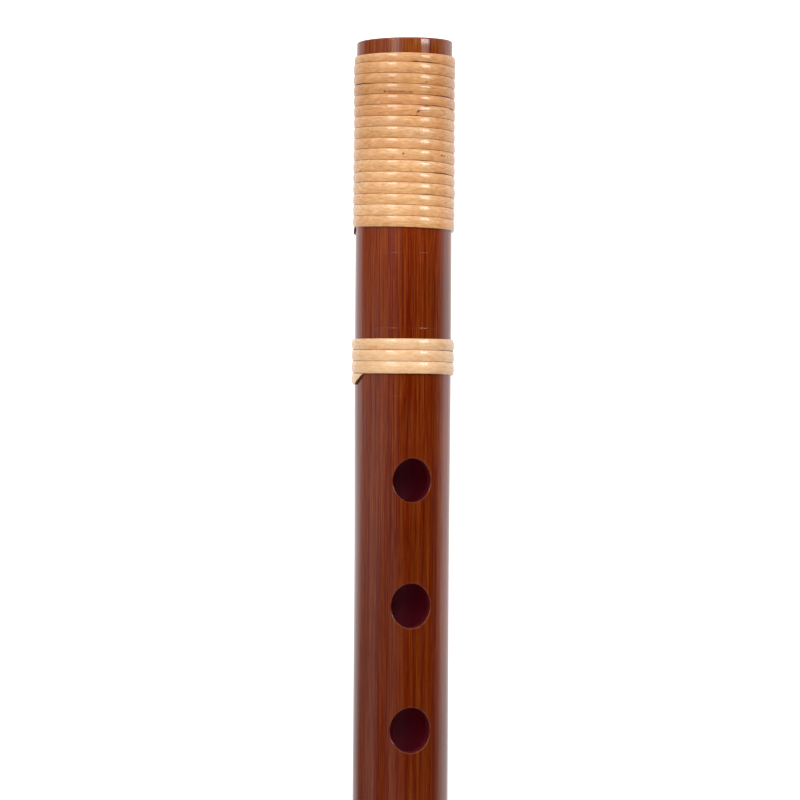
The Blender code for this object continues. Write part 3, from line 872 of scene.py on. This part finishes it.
# the rattan
levelSide = -12.0                     # side of the cane on which the turns lie square to it
strip = {
    "gap": 0.014 * mm,
    "lift": 0.01 * mm,
    "cornerRadius": 0.10 * mm,
    "cutCorner": 0.02 * mm,           # where it is cut, the corner is sharp
    "cornerPoints": 5,
    "crownPoints": 13,
    "ridges": 0.0025 * mm,            # long ridges and furrows on the crown
    "ridgeWidth": 0.7 * mm,
    "tilt": 0.06,                     # how far a turn leans, as a share of the thickness
    "grooveWidth": 0.10,
    "stepAngle": 3.0,
    "cutStep": 0.6,
    "cutTip": 0.12 * mm,
    "ragged": 0.10 * mm,
    "wobble": 0.045 * mm,
    "fray": 0.05 * mm,                # how far joints open here and there
    "rise": 0.02 * mm,
    "narrow": 0.9 * mm,
    "cutReach": 1.0 * mm,
}
footWinding = {
    "level": 3.30 * mm,
    "crownDrop": 0.27,                # share of the thickness lost towards the edges
    "strandStart": 0.0,               # where the strip's grain starts, in turns
    # the turns as they lie: where each ends on the level side
    "ends": [5.20, 7.54, 9.72, 11.95, 14.12, 16.46, 18.72, 21.06, 23.30, 25.68, 28.12,
             30.28, 32.73, 34.97, 37.27, 39.63],
    "sway": 0.14 * mm,                # the turns lie flatter in front, steeper behind
    "pitch": 2.3 * mm,
    "radius": 10.77 * mm,
    "ease": 0.0,
    "start": -247.5,
    # where the end is cut: angle, share cut from the far side, how dark (bare fibre and painted shadow)
    "tail": ((232.0, 0.0, 1.0), (238.0, 0.16, 1.0), (254.0, 0.42, 1.0), (260.0, 0.64, 1.0),
             (262.5, 1.0, 1.0)),
    # opened joints: turn, angle, half width in degrees, how far
    "openings": [
        (1, 13.0, 13.0, 0.13 * mm), (1, 0.0, 3.0, 0.12 * mm), (3, -71.0, 18.0, 0.15 * mm),
        (4, 42.0, 16.0, 0.16 * mm), (5, 13.5, 5.0, 0.10 * mm), (5, 29.0, 8.0, 0.12 * mm),
        (6, -12.0, 9.0, 0.04 * mm), (6, 2.0, 5.0, 0.09 * mm), (10, 8.0, 9.0, 0.09 * mm), (11, 36.0, 16.0, 0.16 * mm), (13, 17.0, 8.0, 0.08 * mm),
        (8, 150.0, 30.0, 0.12 * mm), (13, 205.0, 24.0, 0.14 * mm),
    ],
    # furrows along the strip: turn, angle, half length in degrees, place across, depth
    "grooves": [
        (3, -10.0, 30.0, 0.62, 0.020 * mm), (4, -20.0, 62.0, 0.48, 0.034 * mm),
        (6, -42.0, 30.0, 0.45, 0.030 * mm), (9, 190.0, 60.0, 0.5, 0.030 * mm),
    ],
    "turned": False,
    "seed": 3.0,
    # where the strip lies lower: turn, angle, how many turns it takes to fade, depth
    "settled": (
        (1, -102.0, 0.6, 0.13 * mm), (7, -102.0, 2.6, 0.11 * mm), (3.6, 78.0, 0.9, 0.09 * mm),
        (7.2, 78.0, 1.2, 0.06 * mm), (13, 78.0, 0.5, -0.08 * mm), (16, 258.0, 0.12, 0.20 * mm),
    ),
    # darker turns: how many turns on, how much, how far along it fades
    "dips": ((2.9, 0.07, 1.1), (4.2, 0.045, 0.7), (8.0, 0.030, 0.5), (11.0, 0.025, 0.5),
             (15.3, 0.025, 1.2)),
}
footBand = {
    "level": 62.84 * mm,
    "crownDrop": 0.30,
    "strandStart": 40.0,
    "ends": [65.20, 67.58, 70.17],
    "sway": 0.0,
    "pitch": 2.475 * mm,
    "radius": 10.85 * mm,
    "ease": 1.0,
    "start": -232.5,
    "tail": ((276.5, 0.0, 1.0), (283.0, 0.34, 1.0), (287.0, 0.50, 1.0), (291.5, 0.80, 1.0),
             (296.5, 1.0, 1.0)),
    "openings": [(1, 60.0, 20.0, 0.07 * mm), (2, 284.0, 6.0, 0.11 * mm)],
    "grooves": [],
    "settled": ((3, 287.0, 0.06, 0.20 * mm),),
    "turned": False,
    "seed": 11.0,
}


def evenTurns(level, first, pitch, turns, seed):
    # like turns, each a little off, as hands lay them
    ends = []
    for index in range(turns):
        off = 0.12 * noise.noise(Vector((index * 1.7, seed, 0.5)))
        ends.append(level + first + pitch * index + off)
    return ends


headBand = dict(
    footBand,
    strandStart=80.0,
    ends=evenTurns(62.84, 2.42, 2.475, 3, 5.0),
    openings=[(2, 120.0, 25.0, 0.06 * mm)],
    turned=True,
    seed=23.0,
)
headWinding = dict(
    footWinding,
    strandStart=120.0,
    ends=evenTurns(3.10, 1.92, 2.3, 16, 8.0),
    radius=10.74 * mm,
    grooves=[(7, 60.0, 70.0, 0.5, 0.030 * mm)],
    openings=[(3, 80.0, 20.0, 0.1 * mm), (9, -30.0, 16.0, 0.14 * mm), (12, 170.0, 25.0, 0.12 * mm)],
    turned=True,
    seed=37.0,
)
# a turned binding starts at the far end: the head winding at the head end, the head band
# as far beyond the last finger hole as the foot band lies before the first one
headBandLow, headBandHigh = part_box("head_band")
headBandStart = headBandHigh.x - footX
# at the splice half of the outer strip stops short and the rest tapers out over the inner one:
splice = {
    "turn": 5,
    "outerEnd": ((1.6, 0.0, 0.3), (2.6, 0.42, 1.0), (8.0, 0.48, 0.85), (14.0, 0.50, 0.72),
                 (22.0, 0.54, 0.5), (64.0, 1.0, 0.0)),
    "innerStart": ((1.6, 0.0, 0.2), (3.0, 0.36, 1.0), (7.0, 0.46, 0.7), (14.0, 0.50, 0.5),
                   (22.0, 0.54, 0.3), (64.0, 1.0, 0.0)),
}


def seatPlace(binding, offset):
    if not binding["turned"]:
        return offset
    if binding is headBand:
        return headBandStart - (offset - binding["level"])
    return tubeLength - offset


def courseOf(binding, angle):
    turn = (angle - levelSide) / 360.0
    return turn - binding["ease"] * math.sin(math.tau * turn) / math.tau


def farEdge(binding, angle):
    # where the turn ends, eased from one measured turn to the next
    place = courseOf(binding, angle)
    ends = [end * mm for end in binding["ends"]]
    index = math.floor(place)
    share = place - index
    if index < 0:
        station = ends[0] + binding["pitch"] * place
    elif index >= len(ends) - 1:
        station = ends[-1] + binding["pitch"] * (place - len(ends) + 1)
    else:
        before = ends[index - 1] if index else ends[0] - binding["pitch"]
        beyond = ends[index + 2] if index + 2 < len(ends) else ends[-1] + binding["pitch"]
        first, last = ends[index], ends[index + 1]
        slopeIn, slopeOut = (last - before) / 2, (beyond - first) / 2
        square, cube = share ** 2, share ** 3
        station = (2 * cube - 3 * square + 1) * first + (cube - 2 * square + share) * slopeIn
        station += (3 * square - 2 * cube) * last + (cube - square) * slopeOut
    station -= binding["sway"] * math.sin(math.radians(angle - levelSide))
    return station + strip["wobble"] * noise.noise(Vector((angle / 47.0, binding["seed"], 0.0)))


def openedBy(binding, angle):
    # how far the joint after this turn stands open
    total = 0.0
    for turn, middle, half, width in binding["openings"]:
        away = (angle - (360.0 * (turn - 1) + middle)) / half
        if abs(away) < 3.0:
            total += width * math.exp(-away * away)
    return total


def settledBy(binding, angle):
    # how far the strip lies below the rest of its binding
    total = 0.0
    for turn, side, fade, depth in binding["settled"]:
        away = (angle - (360.0 * (turn - 1) + side)) / 360.0
        facing = max(0.0, math.cos(math.radians(angle - side)))
        total += depth * facing * math.exp(-(away / fade) ** 2)
    return total


def stripEdges(binding, angle):
    frayed = noise.noise(Vector((angle / 12.0, binding["seed"], 8.0)))
    frayed += 0.6 * noise.noise(Vector((angle / 4.0, binding["seed"], 9.0)))
    far = farEdge(binding, angle) - strip["gap"] / 2 - openedBy(binding, angle)
    far -= strip["fray"] * max(0.0, frayed)
    near = farEdge(binding, angle - 360.0) + strip["gap"] / 2
    return max(binding["level"], near), far


def cutLine(binding, stops, angle, near, far):
    # where a cut crosses the strip, a little ragged, and how dark it is there, as bare fibre and painted
    # shadow
    tip = strip["cutTip"]
    places, shares, darks = zip(*stops)
    ragged = strip["ragged"] * noise.noise(Vector((angle * 0.5, binding["seed"], 6.0)))
    share = np.interp(angle, places, shares)
    return far - tip - share * (far - near - 2 * tip) + ragged, np.interp(angle, places, darks)


def crownShape(binding, angle, near, far, whole, thickness):
    # across the strip: (offset, height as a share); a cut strip keeps the crown of the whole one
    grooves = []
    for turn, middle, half, place, depth in binding["grooves"]:
        away = (angle - (360.0 * (turn - 1) + middle)) / half
        grooves.append((place, depth / thickness * math.exp(-away ** 4)))
    lean = strip["tilt"] * noise.noise(Vector((angle / 90.0, binding["seed"], 5.0)))
    count = strip["cornerPoints"]
    turns = [math.pi / 2 * index / count for index in range(count)]
    width = far - near
    corners = []
    for cutAway in (near - whole[0], whole[1] - far):
        size = strip["cutCorner"] if cutAway > strip["cutTip"] / 2 else strip["cornerRadius"]
        corners.append(min(size, 0.4 * width, 0.6 * thickness))
    first, last = corners
    flat = strip["crownPoints"]
    places = [(first * (1.0 - math.cos(turn)), first * (1.0 - math.sin(turn))) for turn in turns]
    places += [(first + (width - first - last) * index / (flat - 1), 0.0) for index in range(flat)]
    places += [
        (width - last * (1.0 - math.cos(turn)), last * (1.0 - math.sin(turn)))
        for turn in reversed(turns)
    ]
    shape = []
    for place, sunk in places:
        across = (near + place - whole[0]) / (whole[1] - whole[0])
        share = 2.0 * across - 1.0
        height = 1.0 - binding["crownDrop"] * share ** 2 + lean * share
        for middle, depth in grooves:
            height -= depth * math.exp(-((across - middle) / strip["grooveWidth"]) ** 2)
        acrossRidges = across * (whole[1] - whole[0]) / strip["ridgeWidth"]
        ridge = noise.noise(Vector((acrossRidges, angle / 50.0, binding["seed"])))
        height += (strip["ridges"] * ridge - sunk) / thickness
        shape.append((near + place, max(height, 0.05)))
    return shape


def stripMesh(name, binding, start, end, startCut=None, endCut=None):
    count = max(8, round((end - start) / strip["stepAngle"]))
    underside = (1.0, 0.5, 0.0)
    mesh = bmesh.new()
    readings = {"along": [], "across": [], "tone": [], "blush": [], "cut": []}
    loops = []
    angles = [start + (end - start) * index / count for index in range(count + 1)]
    for cut in (startCut, endCut):
        if cut:
            first, last = cut[0][0], cut[-1][0]
            steps = math.ceil((last - first) / strip["cutStep"])
            angles = [angle for angle in angles if not first - 0.5 < angle < last + 0.5]
            angles += [first + (last - first) * index / steps for index in range(steps + 1)]
            angles += [first - 0.05] if cut is endCut else [last + 0.05]
    for angle in sorted(angles):
        near, far = whole = stripEdges(binding, angle)
        cutNear = cutFar = 0.0
        if endCut and angle >= endCut[0][0]:
            far, cutFar = cutLine(binding, endCut, angle, near, far)
            far -= strip["gap"] / 2
        if startCut and angle <= startCut[-1][0]:
            near, cutNear = cutLine(binding, startCut, angle, near, far)
            near += strip["gap"] / 2
        width = far - near
        thin = min(1.0, 0.35 + width / strip["narrow"])
        face = -angle if binding["turned"] else angle
        turnNumber = (angle - levelSide) / 360.0
        tone, blush = toneOf(binding, turnNumber)
        rise = strip["rise"] * noise.noise(Vector((angle / 31.0, binding["seed"], 4.0)))
        rise -= settledBy(binding, angle)
        middle = seatPlace(binding, near + width / 2)
        floorRadius = caneRadius(middle, face) + strip["lift"]
        thickness = (binding["radius"] + rise - floorRadius) * thin
        crown = crownShape(binding, angle, near, far, whole, thickness)
        loop = [(place, floorRadius + thickness * height) for place, height in crown]
        for share in underside:
            place = near + width * share
            loop.append((place, caneRadius(seatPlace(binding, place), face) + strip["lift"]))
        ring = []
        for place, radius in loop:
            point = onTube(seatPlace(binding, place), face, radius)
            point.z = max(point.z, 0.0)
            ring.append(mesh.verts.new(point))
            readings["along"].append(angle / 360.0 + binding["strandStart"])
            readings["across"].append((place - whole[0]) / (whole[1] - whole[0]))
            readings["tone"].append(tone)
            readings["blush"].append(blush)
            fromFar = max(0.0, 1.0 - (far - place) / strip["cutReach"]) * cutFar
            fromNear = max(0.0, 1.0 - (place - near) / strip["cutReach"]) * cutNear
            readings["cut"].append(max(fromFar, fromNear))
        loops.append(ring)
    for ring, after in zip(loops, loops[1:]):
        for index in range(len(ring)):
            beside = (index + 1) % len(ring)
            face = mesh.faces.new((ring[index], ring[beside], after[beside], after[index]))
            face.smooth = True
    mesh.faces.new(loops[0])
    mesh.faces.new(loops[-1])
    bmesh.ops.recalc_face_normals(mesh, faces=mesh.faces)
    data = bpy.data.meshes.new(name)
    mesh.to_mesh(data)
    mesh.free()
    for label, values in readings.items():
        layer = data.attributes.new(label, "FLOAT", "POINT")
        layer.data.foreach_set("value", np.array(values, dtype=np.float32))
    data.shade_smooth()
    data.set_sharp_from_angle(angle=math.radians(50.0))
    return data


def toneOf(binding, turnNumber):
    # lightness, and how rosy the strip is; below nought it is olive
    if binding["ease"]:
        vary = noise.noise(Vector((turnNumber * 1.3, binding["seed"], 9.0)))
        return 0.12 + 0.04 * vary, 0.2 * vary
    dip = sum(
        depth * math.exp(-((turnNumber - turn) / spread) ** 2)
        for turn, depth, spread in binding["dips"]
    )
    vary = noise.noise(Vector((turnNumber * 0.9, binding["seed"], 2.0)))
    tone = -0.065 - dip + 0.11 * smoothStep((turnNumber - 4.0) / 8.0) + 0.05 * vary
    blush = 0.35 * math.exp(-((turnNumber - 5.0) / 1.0) ** 2)
    blush -= 0.30 * math.exp(-((turnNumber - 2.9) / 0.8) ** 2)
    return tone, blush + 0.15 * vary


def addStrip(name, node, binding, start, end, **cuts):
    data = stripMesh(name, binding, start, end, **cuts)
    addPiece(name, data, (rattanStrip,), "rattan", node)
    print(name, "wound:", len(data.polygons), "faces")


def cutFrom(turns, stops):
    return [(360.0 * turns + angle, share, dark) for angle, share, dark in stops]


def tailCut(binding):
    return cutFrom(len(binding["ends"]) - 1, binding["tail"])


def windAll():
    outerEnd = cutFrom(splice["turn"], splice["outerEnd"])
    innerStart = cutFrom(splice["turn"], splice["innerStart"])
    addStrip(
        "footOuterStrip", "foot_winding_outer_strip", footWinding,
        footWinding["start"], outerEnd[-1][0], endCut=outerEnd,
    )
    tail = tailCut(footWinding)
    addStrip(
        "footInnerStrip", "foot_winding_inner_strip", footWinding,
        innerStart[0][0], tail[-1][0], startCut=innerStart, endCut=tail,
    )
    for name, node, binding in (
        ("footBandStrip", "foot_band", footBand),
        ("headBandStrip", "head_band", headBand),
        ("headWindingStrip", "head_winding", headWinding),
    ):
        tail = tailCut(binding)
        addStrip(name, node, binding, binding["start"], tail[-1][0], endCut=tail)


windAll()


# the plug of the head end
plug = {"sides": 128, "edge": 0.35 * mm, "edgeSteps": 4, "domeSteps": 14}


def turnedMesh(name, profile):
    # a round solid from (station, radius) places, closed on the axis at both ends
    sides = plug["sides"]
    mesh = bmesh.new()
    loops = []
    for station, radius in profile:
        ring = [onTube(station, 360.0 * index / sides, radius) for index in range(sides)]
        loops.append([mesh.verts.new(point) for point in ring])
    for loop, after in zip(loops, loops[1:]):
        for index in range(sides):
            beside = (index + 1) % sides
            mesh.faces.new((loop[index], loop[beside], after[beside], after[index]))
    for loop, (station, radius) in ((loops[0], profile[0]), (loops[-1], profile[-1])):
        middle = mesh.verts.new(onTube(station, 0.0, 0.0))
        for index in range(sides):
            mesh.faces.new((loop[index], loop[(index + 1) % sides], middle))
    bmesh.ops.recalc_face_normals(mesh, faces=mesh.faces)
    data = bpy.data.meshes.new(name)
    mesh.to_mesh(data)
    mesh.free()
    data.shade_smooth()
    data.set_sharp_from_angle(angle=math.radians(35.0))
    return data


def plugEnds(node):
    low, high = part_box(node)
    return low.x - footX, high.x - footX, (high.y - low.y) / 2


def barrel(start, end, radius, edge, headRadius=None):
    # a plug with rounded edges, and a taper if it has a head radius
    last = headRadius or radius
    corner = roundedCorner(edge, plug["edgeSteps"])
    profile = [(start + faceIn, radius - sideIn) for faceIn, sideIn in reversed(corner)]
    profile += [(end - faceIn, last - sideIn) for faceIn, sideIn in corner]
    return profile


def plugHeadEnd():
    start, end, radius = plugEnds("head_stopper")
    data = turnedMesh("corkStopper", barrel(start, end, radius, plug["edge"], radius - 0.15 * mm))
    addPiece("corkStopper", data, (corkStopper,), "cork", "head_stopper")

    start, end, radius = plugEnds("wax_seal")
    meniscus = []
    for index in range(13):                     # the wax climbs the wall as it sets
        share = index / 12
        dip = 0.6 * mm * (1.0 - share ** 4)
        meniscus.append((start + dip, radius * max(share, 0.02)))
    addPiece(
        "waxSeal", turnedMesh("waxSeal", meniscus + [(end, radius)]), (sealingWax,), "wax",
        "wax_seal",
    )

    start, end, radius = plugEnds("paper_packing")
    profile = barrel(start, end, radius, 1.2 * mm)
    addPiece(
        "paperRoll", turnedMesh("paperRoll", profile), (rolledPaper,), "rolled_paper",
        "paper_packing",
    )

    start, end, radius = plugEnds("head_cap")
    corner = roundedCorner(plug["edge"], plug["edgeSteps"])
    profile = [(start + faceIn, radius - sideIn) for faceIn, sideIn in reversed(corner)]
    rise = 0.9 * mm
    for index in range(plug["domeSteps"], 0, -1):
        share = index / plug["domeSteps"]
        profile.append((end - rise * share ** 2, radius * share * 0.999))
    addPiece("headCap", turnedMesh("headCap", profile), (lacqueredCap,), "lacquered_wood", "head_cap")
    print("head end plugged")


plugHeadEnd()


# floor, light and camera
studio = {
    "floorSize": 6.0,
    "floorColor": (0.80, 0.80, 0.80),
    "floorLift": 0.75,
    # the floor as the lacquer mirrors it, in millimetres: to the left by station, then how far
    # to the side and its radiance; to the right the same all along
    "mirrorLeft": (
        (2.0, ((-250.0, 0.38), (-42.0, 0.22), (-31.0, 0.38), (-27.0, 0.86), (-15.0, 1.05))),
        (47.0, ((-200.0, 0.30), (-36.0, 0.24), (-30.0, 0.34), (-25.0, 1.08), (-18.0, 1.30))),
        (80.0, ((-250.0, 0.80), (-46.0, 0.64), (-34.0, 0.78), (-27.0, 1.08), (-18.0, 1.28))),
        (106.0, ((-250.0, 0.86), (-50.0, 0.57), (-37.0, 0.49), (-28.0, 0.78), (-18.0, 1.35))),
        (150.0, ((-250.0, 0.74), (-61.0, 0.51), (-43.0, 0.27), (-32.0, 0.20), (-25.0, 0.31),
                 (-18.0, 1.0))),
    ),
    "mirrorRight": (
        (20.0, 1.10), (50.0, 1.50), (80.0, 1.40), (115.0, 1.14), (200.0, 0.82), (450.0, 0.62),
    ),
    # light from the left, by how far towards the head end it comes from: (angle from straight
    # up, radiance)
    "leftLight": (
        (-0.115, ((-90.0, 0.38), (-72.0, 0.60), (-50.0, 0.85), (-42.0, 1.20), (-22.0, 1.20),
                  (-14.0, 0.45), (-8.0, 0.02))),
        (-0.045, ((-90.0, 0.40), (-62.0, 0.31), (-40.0, 0.30), (-24.0, 0.18), (-15.0, 0.015))),
        (0.007, ((-90.0, 0.88), (-72.0, 0.96), (-58.0, 0.86), (-46.0, 0.48), (-34.0, 0.31),
                 (-27.0, 0.24), (-18.0, 0.03))),
        (0.048, ((-90.0, 0.88), (-74.0, 0.84), (-60.0, 0.47), (-48.0, 0.30), (-31.0, 0.40),
                 (-20.0, 0.17), (-4.0, 0.015))),
        (0.088, ((-90.0, 0.86), (-82.0, 0.84), (-69.0, 0.36), (-60.0, 0.11), (-46.0, 0.26),
                 (-34.0, 0.58), (-20.0, 0.24), (0.0, 0.015))),
        (0.117, ((-90.0, 0.74), (-81.0, 0.70), (-69.0, 0.11), (-58.0, 0.04), (-44.0, 0.20),
                 (-37.0, 0.46), (-22.0, 0.22), (2.0, 0.015))),
    ),
    "rightLight": (
        (10.0, 0.012), (64.0, 0.02), (70.0, 0.065), (77.0, 0.15), (84.0, 0.32), (90.0, 0.54),
    ),
    # and from towards both ends
    "endGlow": (
        (-180.0, 0.7), (-90.0, 1.0), (-12.0, 1.10), (40.0, 0.72), (80.0, 0.43), (180.0, 0.43),
    ),
    "endFrom": 0.12,                 # how far towards the ends the glow begins, and is full
    "endFull": 0.25,
    "endShares": (1.28, 0.76),       # more of it comes from the foot end
    # soft boxes towards the foot end: angle, raised, spread round, spread along, radiance
    "softBoxes": (
        (37.8, 18.0, 20.0, 20.0, 2.9), (-34.0, 18.0, 15.0, 20.0, 2.1),
        (37.6, 21.0, 19.0, 11.0, 12.5), (-41.0, 29.0, 18.0, 11.0, 12.0),
    ),
    "boxDistance": 0.9,
}


def mirroredFloor(tree):
    place = placeNode(tree, "ShaderNodeTexCoord").outputs["Object"]
    parts = placeNode(tree, "ShaderNodeSeparateXYZ", {0: place}).outputs
    station = calc(tree, "DIVIDE", calc(tree, "SUBTRACT", parts[0], footX), mm)
    aside = calc(tree, "DIVIDE", parts[1], mm)
    left = blendRows(tree, station, aside, studio["mirrorLeft"])
    right = valueSteps(tree, aside, studio["mirrorRight"])
    return blendColors(tree, calc(tree, "GREATER_THAN", aside, 0.0), left, right)


def makeFloor():
    size = studio["floorSize"] / 2
    mesh = bmesh.new()
    cornerPlaces = ((-size, -size), (size, -size), (size, size), (-size, size))
    mesh.faces.new([mesh.verts.new((x, y, 0.0)) for x, y in cornerPlaces])
    bmesh.ops.subdivide_edges(mesh, edges=mesh.edges, cuts=7, use_grid_fill=True)
    data = bpy.data.meshes.new("studioFloor")
    mesh.to_mesh(data)
    mesh.free()
    floor = bpy.data.objects.new("studioFloor", data)
    bpy.context.scene.collection.objects.link(floor)
    material = bpy.data.materials.new("palePaper")
    material.use_nodes = True
    tree = material.node_tree
    tree.nodes.clear()
    output = placeNode(tree, "ShaderNodeOutputMaterial")
    paper = placeNode(tree, "ShaderNodeBsdfDiffuse", {"Color": (*studio["floorColor"], 1.0)})
    path = placeNode(tree, "ShaderNodeLightPath").outputs
    shine = calc(tree, "MAXIMUM", path["Is Glossy Ray"], path["Is Transmission Ray"])
    lift = calc(tree, "MULTIPLY", path["Is Camera Ray"], studio["floorLift"])
    glow = placeNode(tree, "ShaderNodeEmission", {"Color": (1, 1, 1, 1), "Strength": lift})
    both = placeNode(tree, "ShaderNodeAddShader", {0: paper.outputs[0], 1: glow.outputs[0]})
    mirrored = placeNode(
        tree, "ShaderNodeEmission", {"Color": (1, 1, 1, 1), "Strength": mirroredFloor(tree)}
    )
    both = placeNode(
        tree, "ShaderNodeMixShader", {0: shine, 1: both.outputs[0], 2: mirrored.outputs[0]}
    )
    # from below, the camera looks through the floor
    under = placeNode(tree, "ShaderNodeNewGeometry").outputs["Backfacing"]
    under = calc(tree, "MULTIPLY", under, path["Is Camera Ray"])
    clear = placeNode(tree, "ShaderNodeBsdfTransparent")
    seen = placeNode(
        tree, "ShaderNodeMixShader", {0: under, 1: both.outputs[0], 2: clear.outputs[0]}
    )
    tree.links.new(seen.outputs[0], output.inputs["Surface"])
    data.materials.append(material)


def makeSurround():
    world = bpy.data.worlds.new("studioSurround")
    bpy.context.scene.world = world
    world.use_nodes = True
    tree = world.node_tree
    tree.nodes.clear()
    output = placeNode(tree, "ShaderNodeOutputWorld")
    heading = placeNode(tree, "ShaderNodeTexCoord").outputs["Generated"]
    parts = placeNode(tree, "ShaderNodeSeparateXYZ", {0: heading}).outputs
    angle = calc(tree, "DEGREES", calc(tree, "ARCTAN2", parts[1], parts[2]))
    rows = [(towards, stops + studio["rightLight"]) for towards, stops in studio["leftLight"]]
    color = blendRows(tree, parts[0], angle, rows)
    endOn = remap(tree, calc(tree, "ABSOLUTE", parts[0]), studio["endFrom"], studio["endFull"])
    glow = valueSteps(tree, angle, studio["endGlow"])
    reach = studio["endFrom"]
    glow = calc(tree, "MULTIPLY", glow, remap(tree, parts[0], -reach, reach, *studio["endShares"]))
    color = blendColors(tree, endOn, color, glow)
    seen = placeNode(tree, "ShaderNodeLightPath").outputs["Is Camera Ray"]
    color = blendColors(tree, seen, color, (1.0, 1.0, 1.0))
    background = placeNode(tree, "ShaderNodeBackground", {"Color": color, "Strength": 1.0})
    tree.links.new(background.outputs[0], output.inputs["Surface"])


def makeSoftBoxes():
    aim = Vector((footX + 0.07, 0.0, axisZ))
    for number, (angle, raised, around, along, radiance) in enumerate(studio["softBoxes"]):
        turn, lift = math.radians(angle), math.radians(raised)
        heading = Vector((
            -math.sin(lift),
            math.cos(lift) * math.sin(turn),
            math.cos(lift) * math.cos(turn),
        ))
        distance = studio["boxDistance"]
        lamp = bpy.data.lights.new(f"softBox{number + 1}", "AREA")
        lamp.shape = "RECTANGLE"
        lamp.size = 2 * distance * math.tan(math.radians(around / 2))
        lamp.size_y = 2 * distance * math.tan(math.radians(along / 2))
        lamp.energy = radiance * math.pi * lamp.size * lamp.size_y
        holder = bpy.data.objects.new(lamp.name, lamp)
        bpy.context.scene.collection.objects.link(holder)
        side = heading.cross(Vector((1.0, 0.0, 0.0))).normalized()
        up = heading.cross(side).normalized()
        turned = Matrix((side, up, heading)).transposed()
        if turned.determinant() < 0.0:
            turned = Matrix((-side, up, heading)).transposed()
        holder.matrix_world = Matrix.Translation(aim + heading * distance) @ turned.to_4x4()


camera = {
    "opposite": 75.65 * mm,          # station that the camera stands straight over
    "distance": 638.8 * mm,
    "swing": -12.0,                  # degrees round the flute from the hole line
    "roll": 0.355,
    "sideways": -0.545 * mm,
    "lens": 135.9,
    "sensor": 36.0,
}


def makeCamera():
    swing, roll = math.radians(camera["swing"]), math.radians(camera["roll"])
    back = Vector((0.0, math.sin(swing), math.cos(swing)))
    plainRight = Vector((0.0, math.cos(swing), -math.sin(swing)))
    plainUp = Vector((-1.0, 0.0, 0.0))
    right = math.cos(roll) * plainRight + math.sin(roll) * plainUp
    up = math.cos(roll) * plainUp - math.sin(roll) * plainRight
    place = onTube(camera["opposite"], 0.0, 0.0) + back * camera["distance"]
    place += plainRight * camera["sideways"]
    data = bpy.data.cameras.new("photographView")
    data.lens = camera["lens"]
    data.sensor_width = camera["sensor"]
    data.clip_start = 0.01
    data.clip_end = 20.0
    holder = bpy.data.objects.new("photographView", data)
    bpy.context.scene.collection.objects.link(holder)
    holder.matrix_world = Matrix.Translation(place) @ Matrix((right, up, back)).transposed().to_4x4()
    bpy.context.scene.camera = holder


makeFloor()
makeSurround()
makeSoftBoxes()
makeCamera()
bpy.context.scene.view_settings.view_transform = "Standard"
print("studio set")
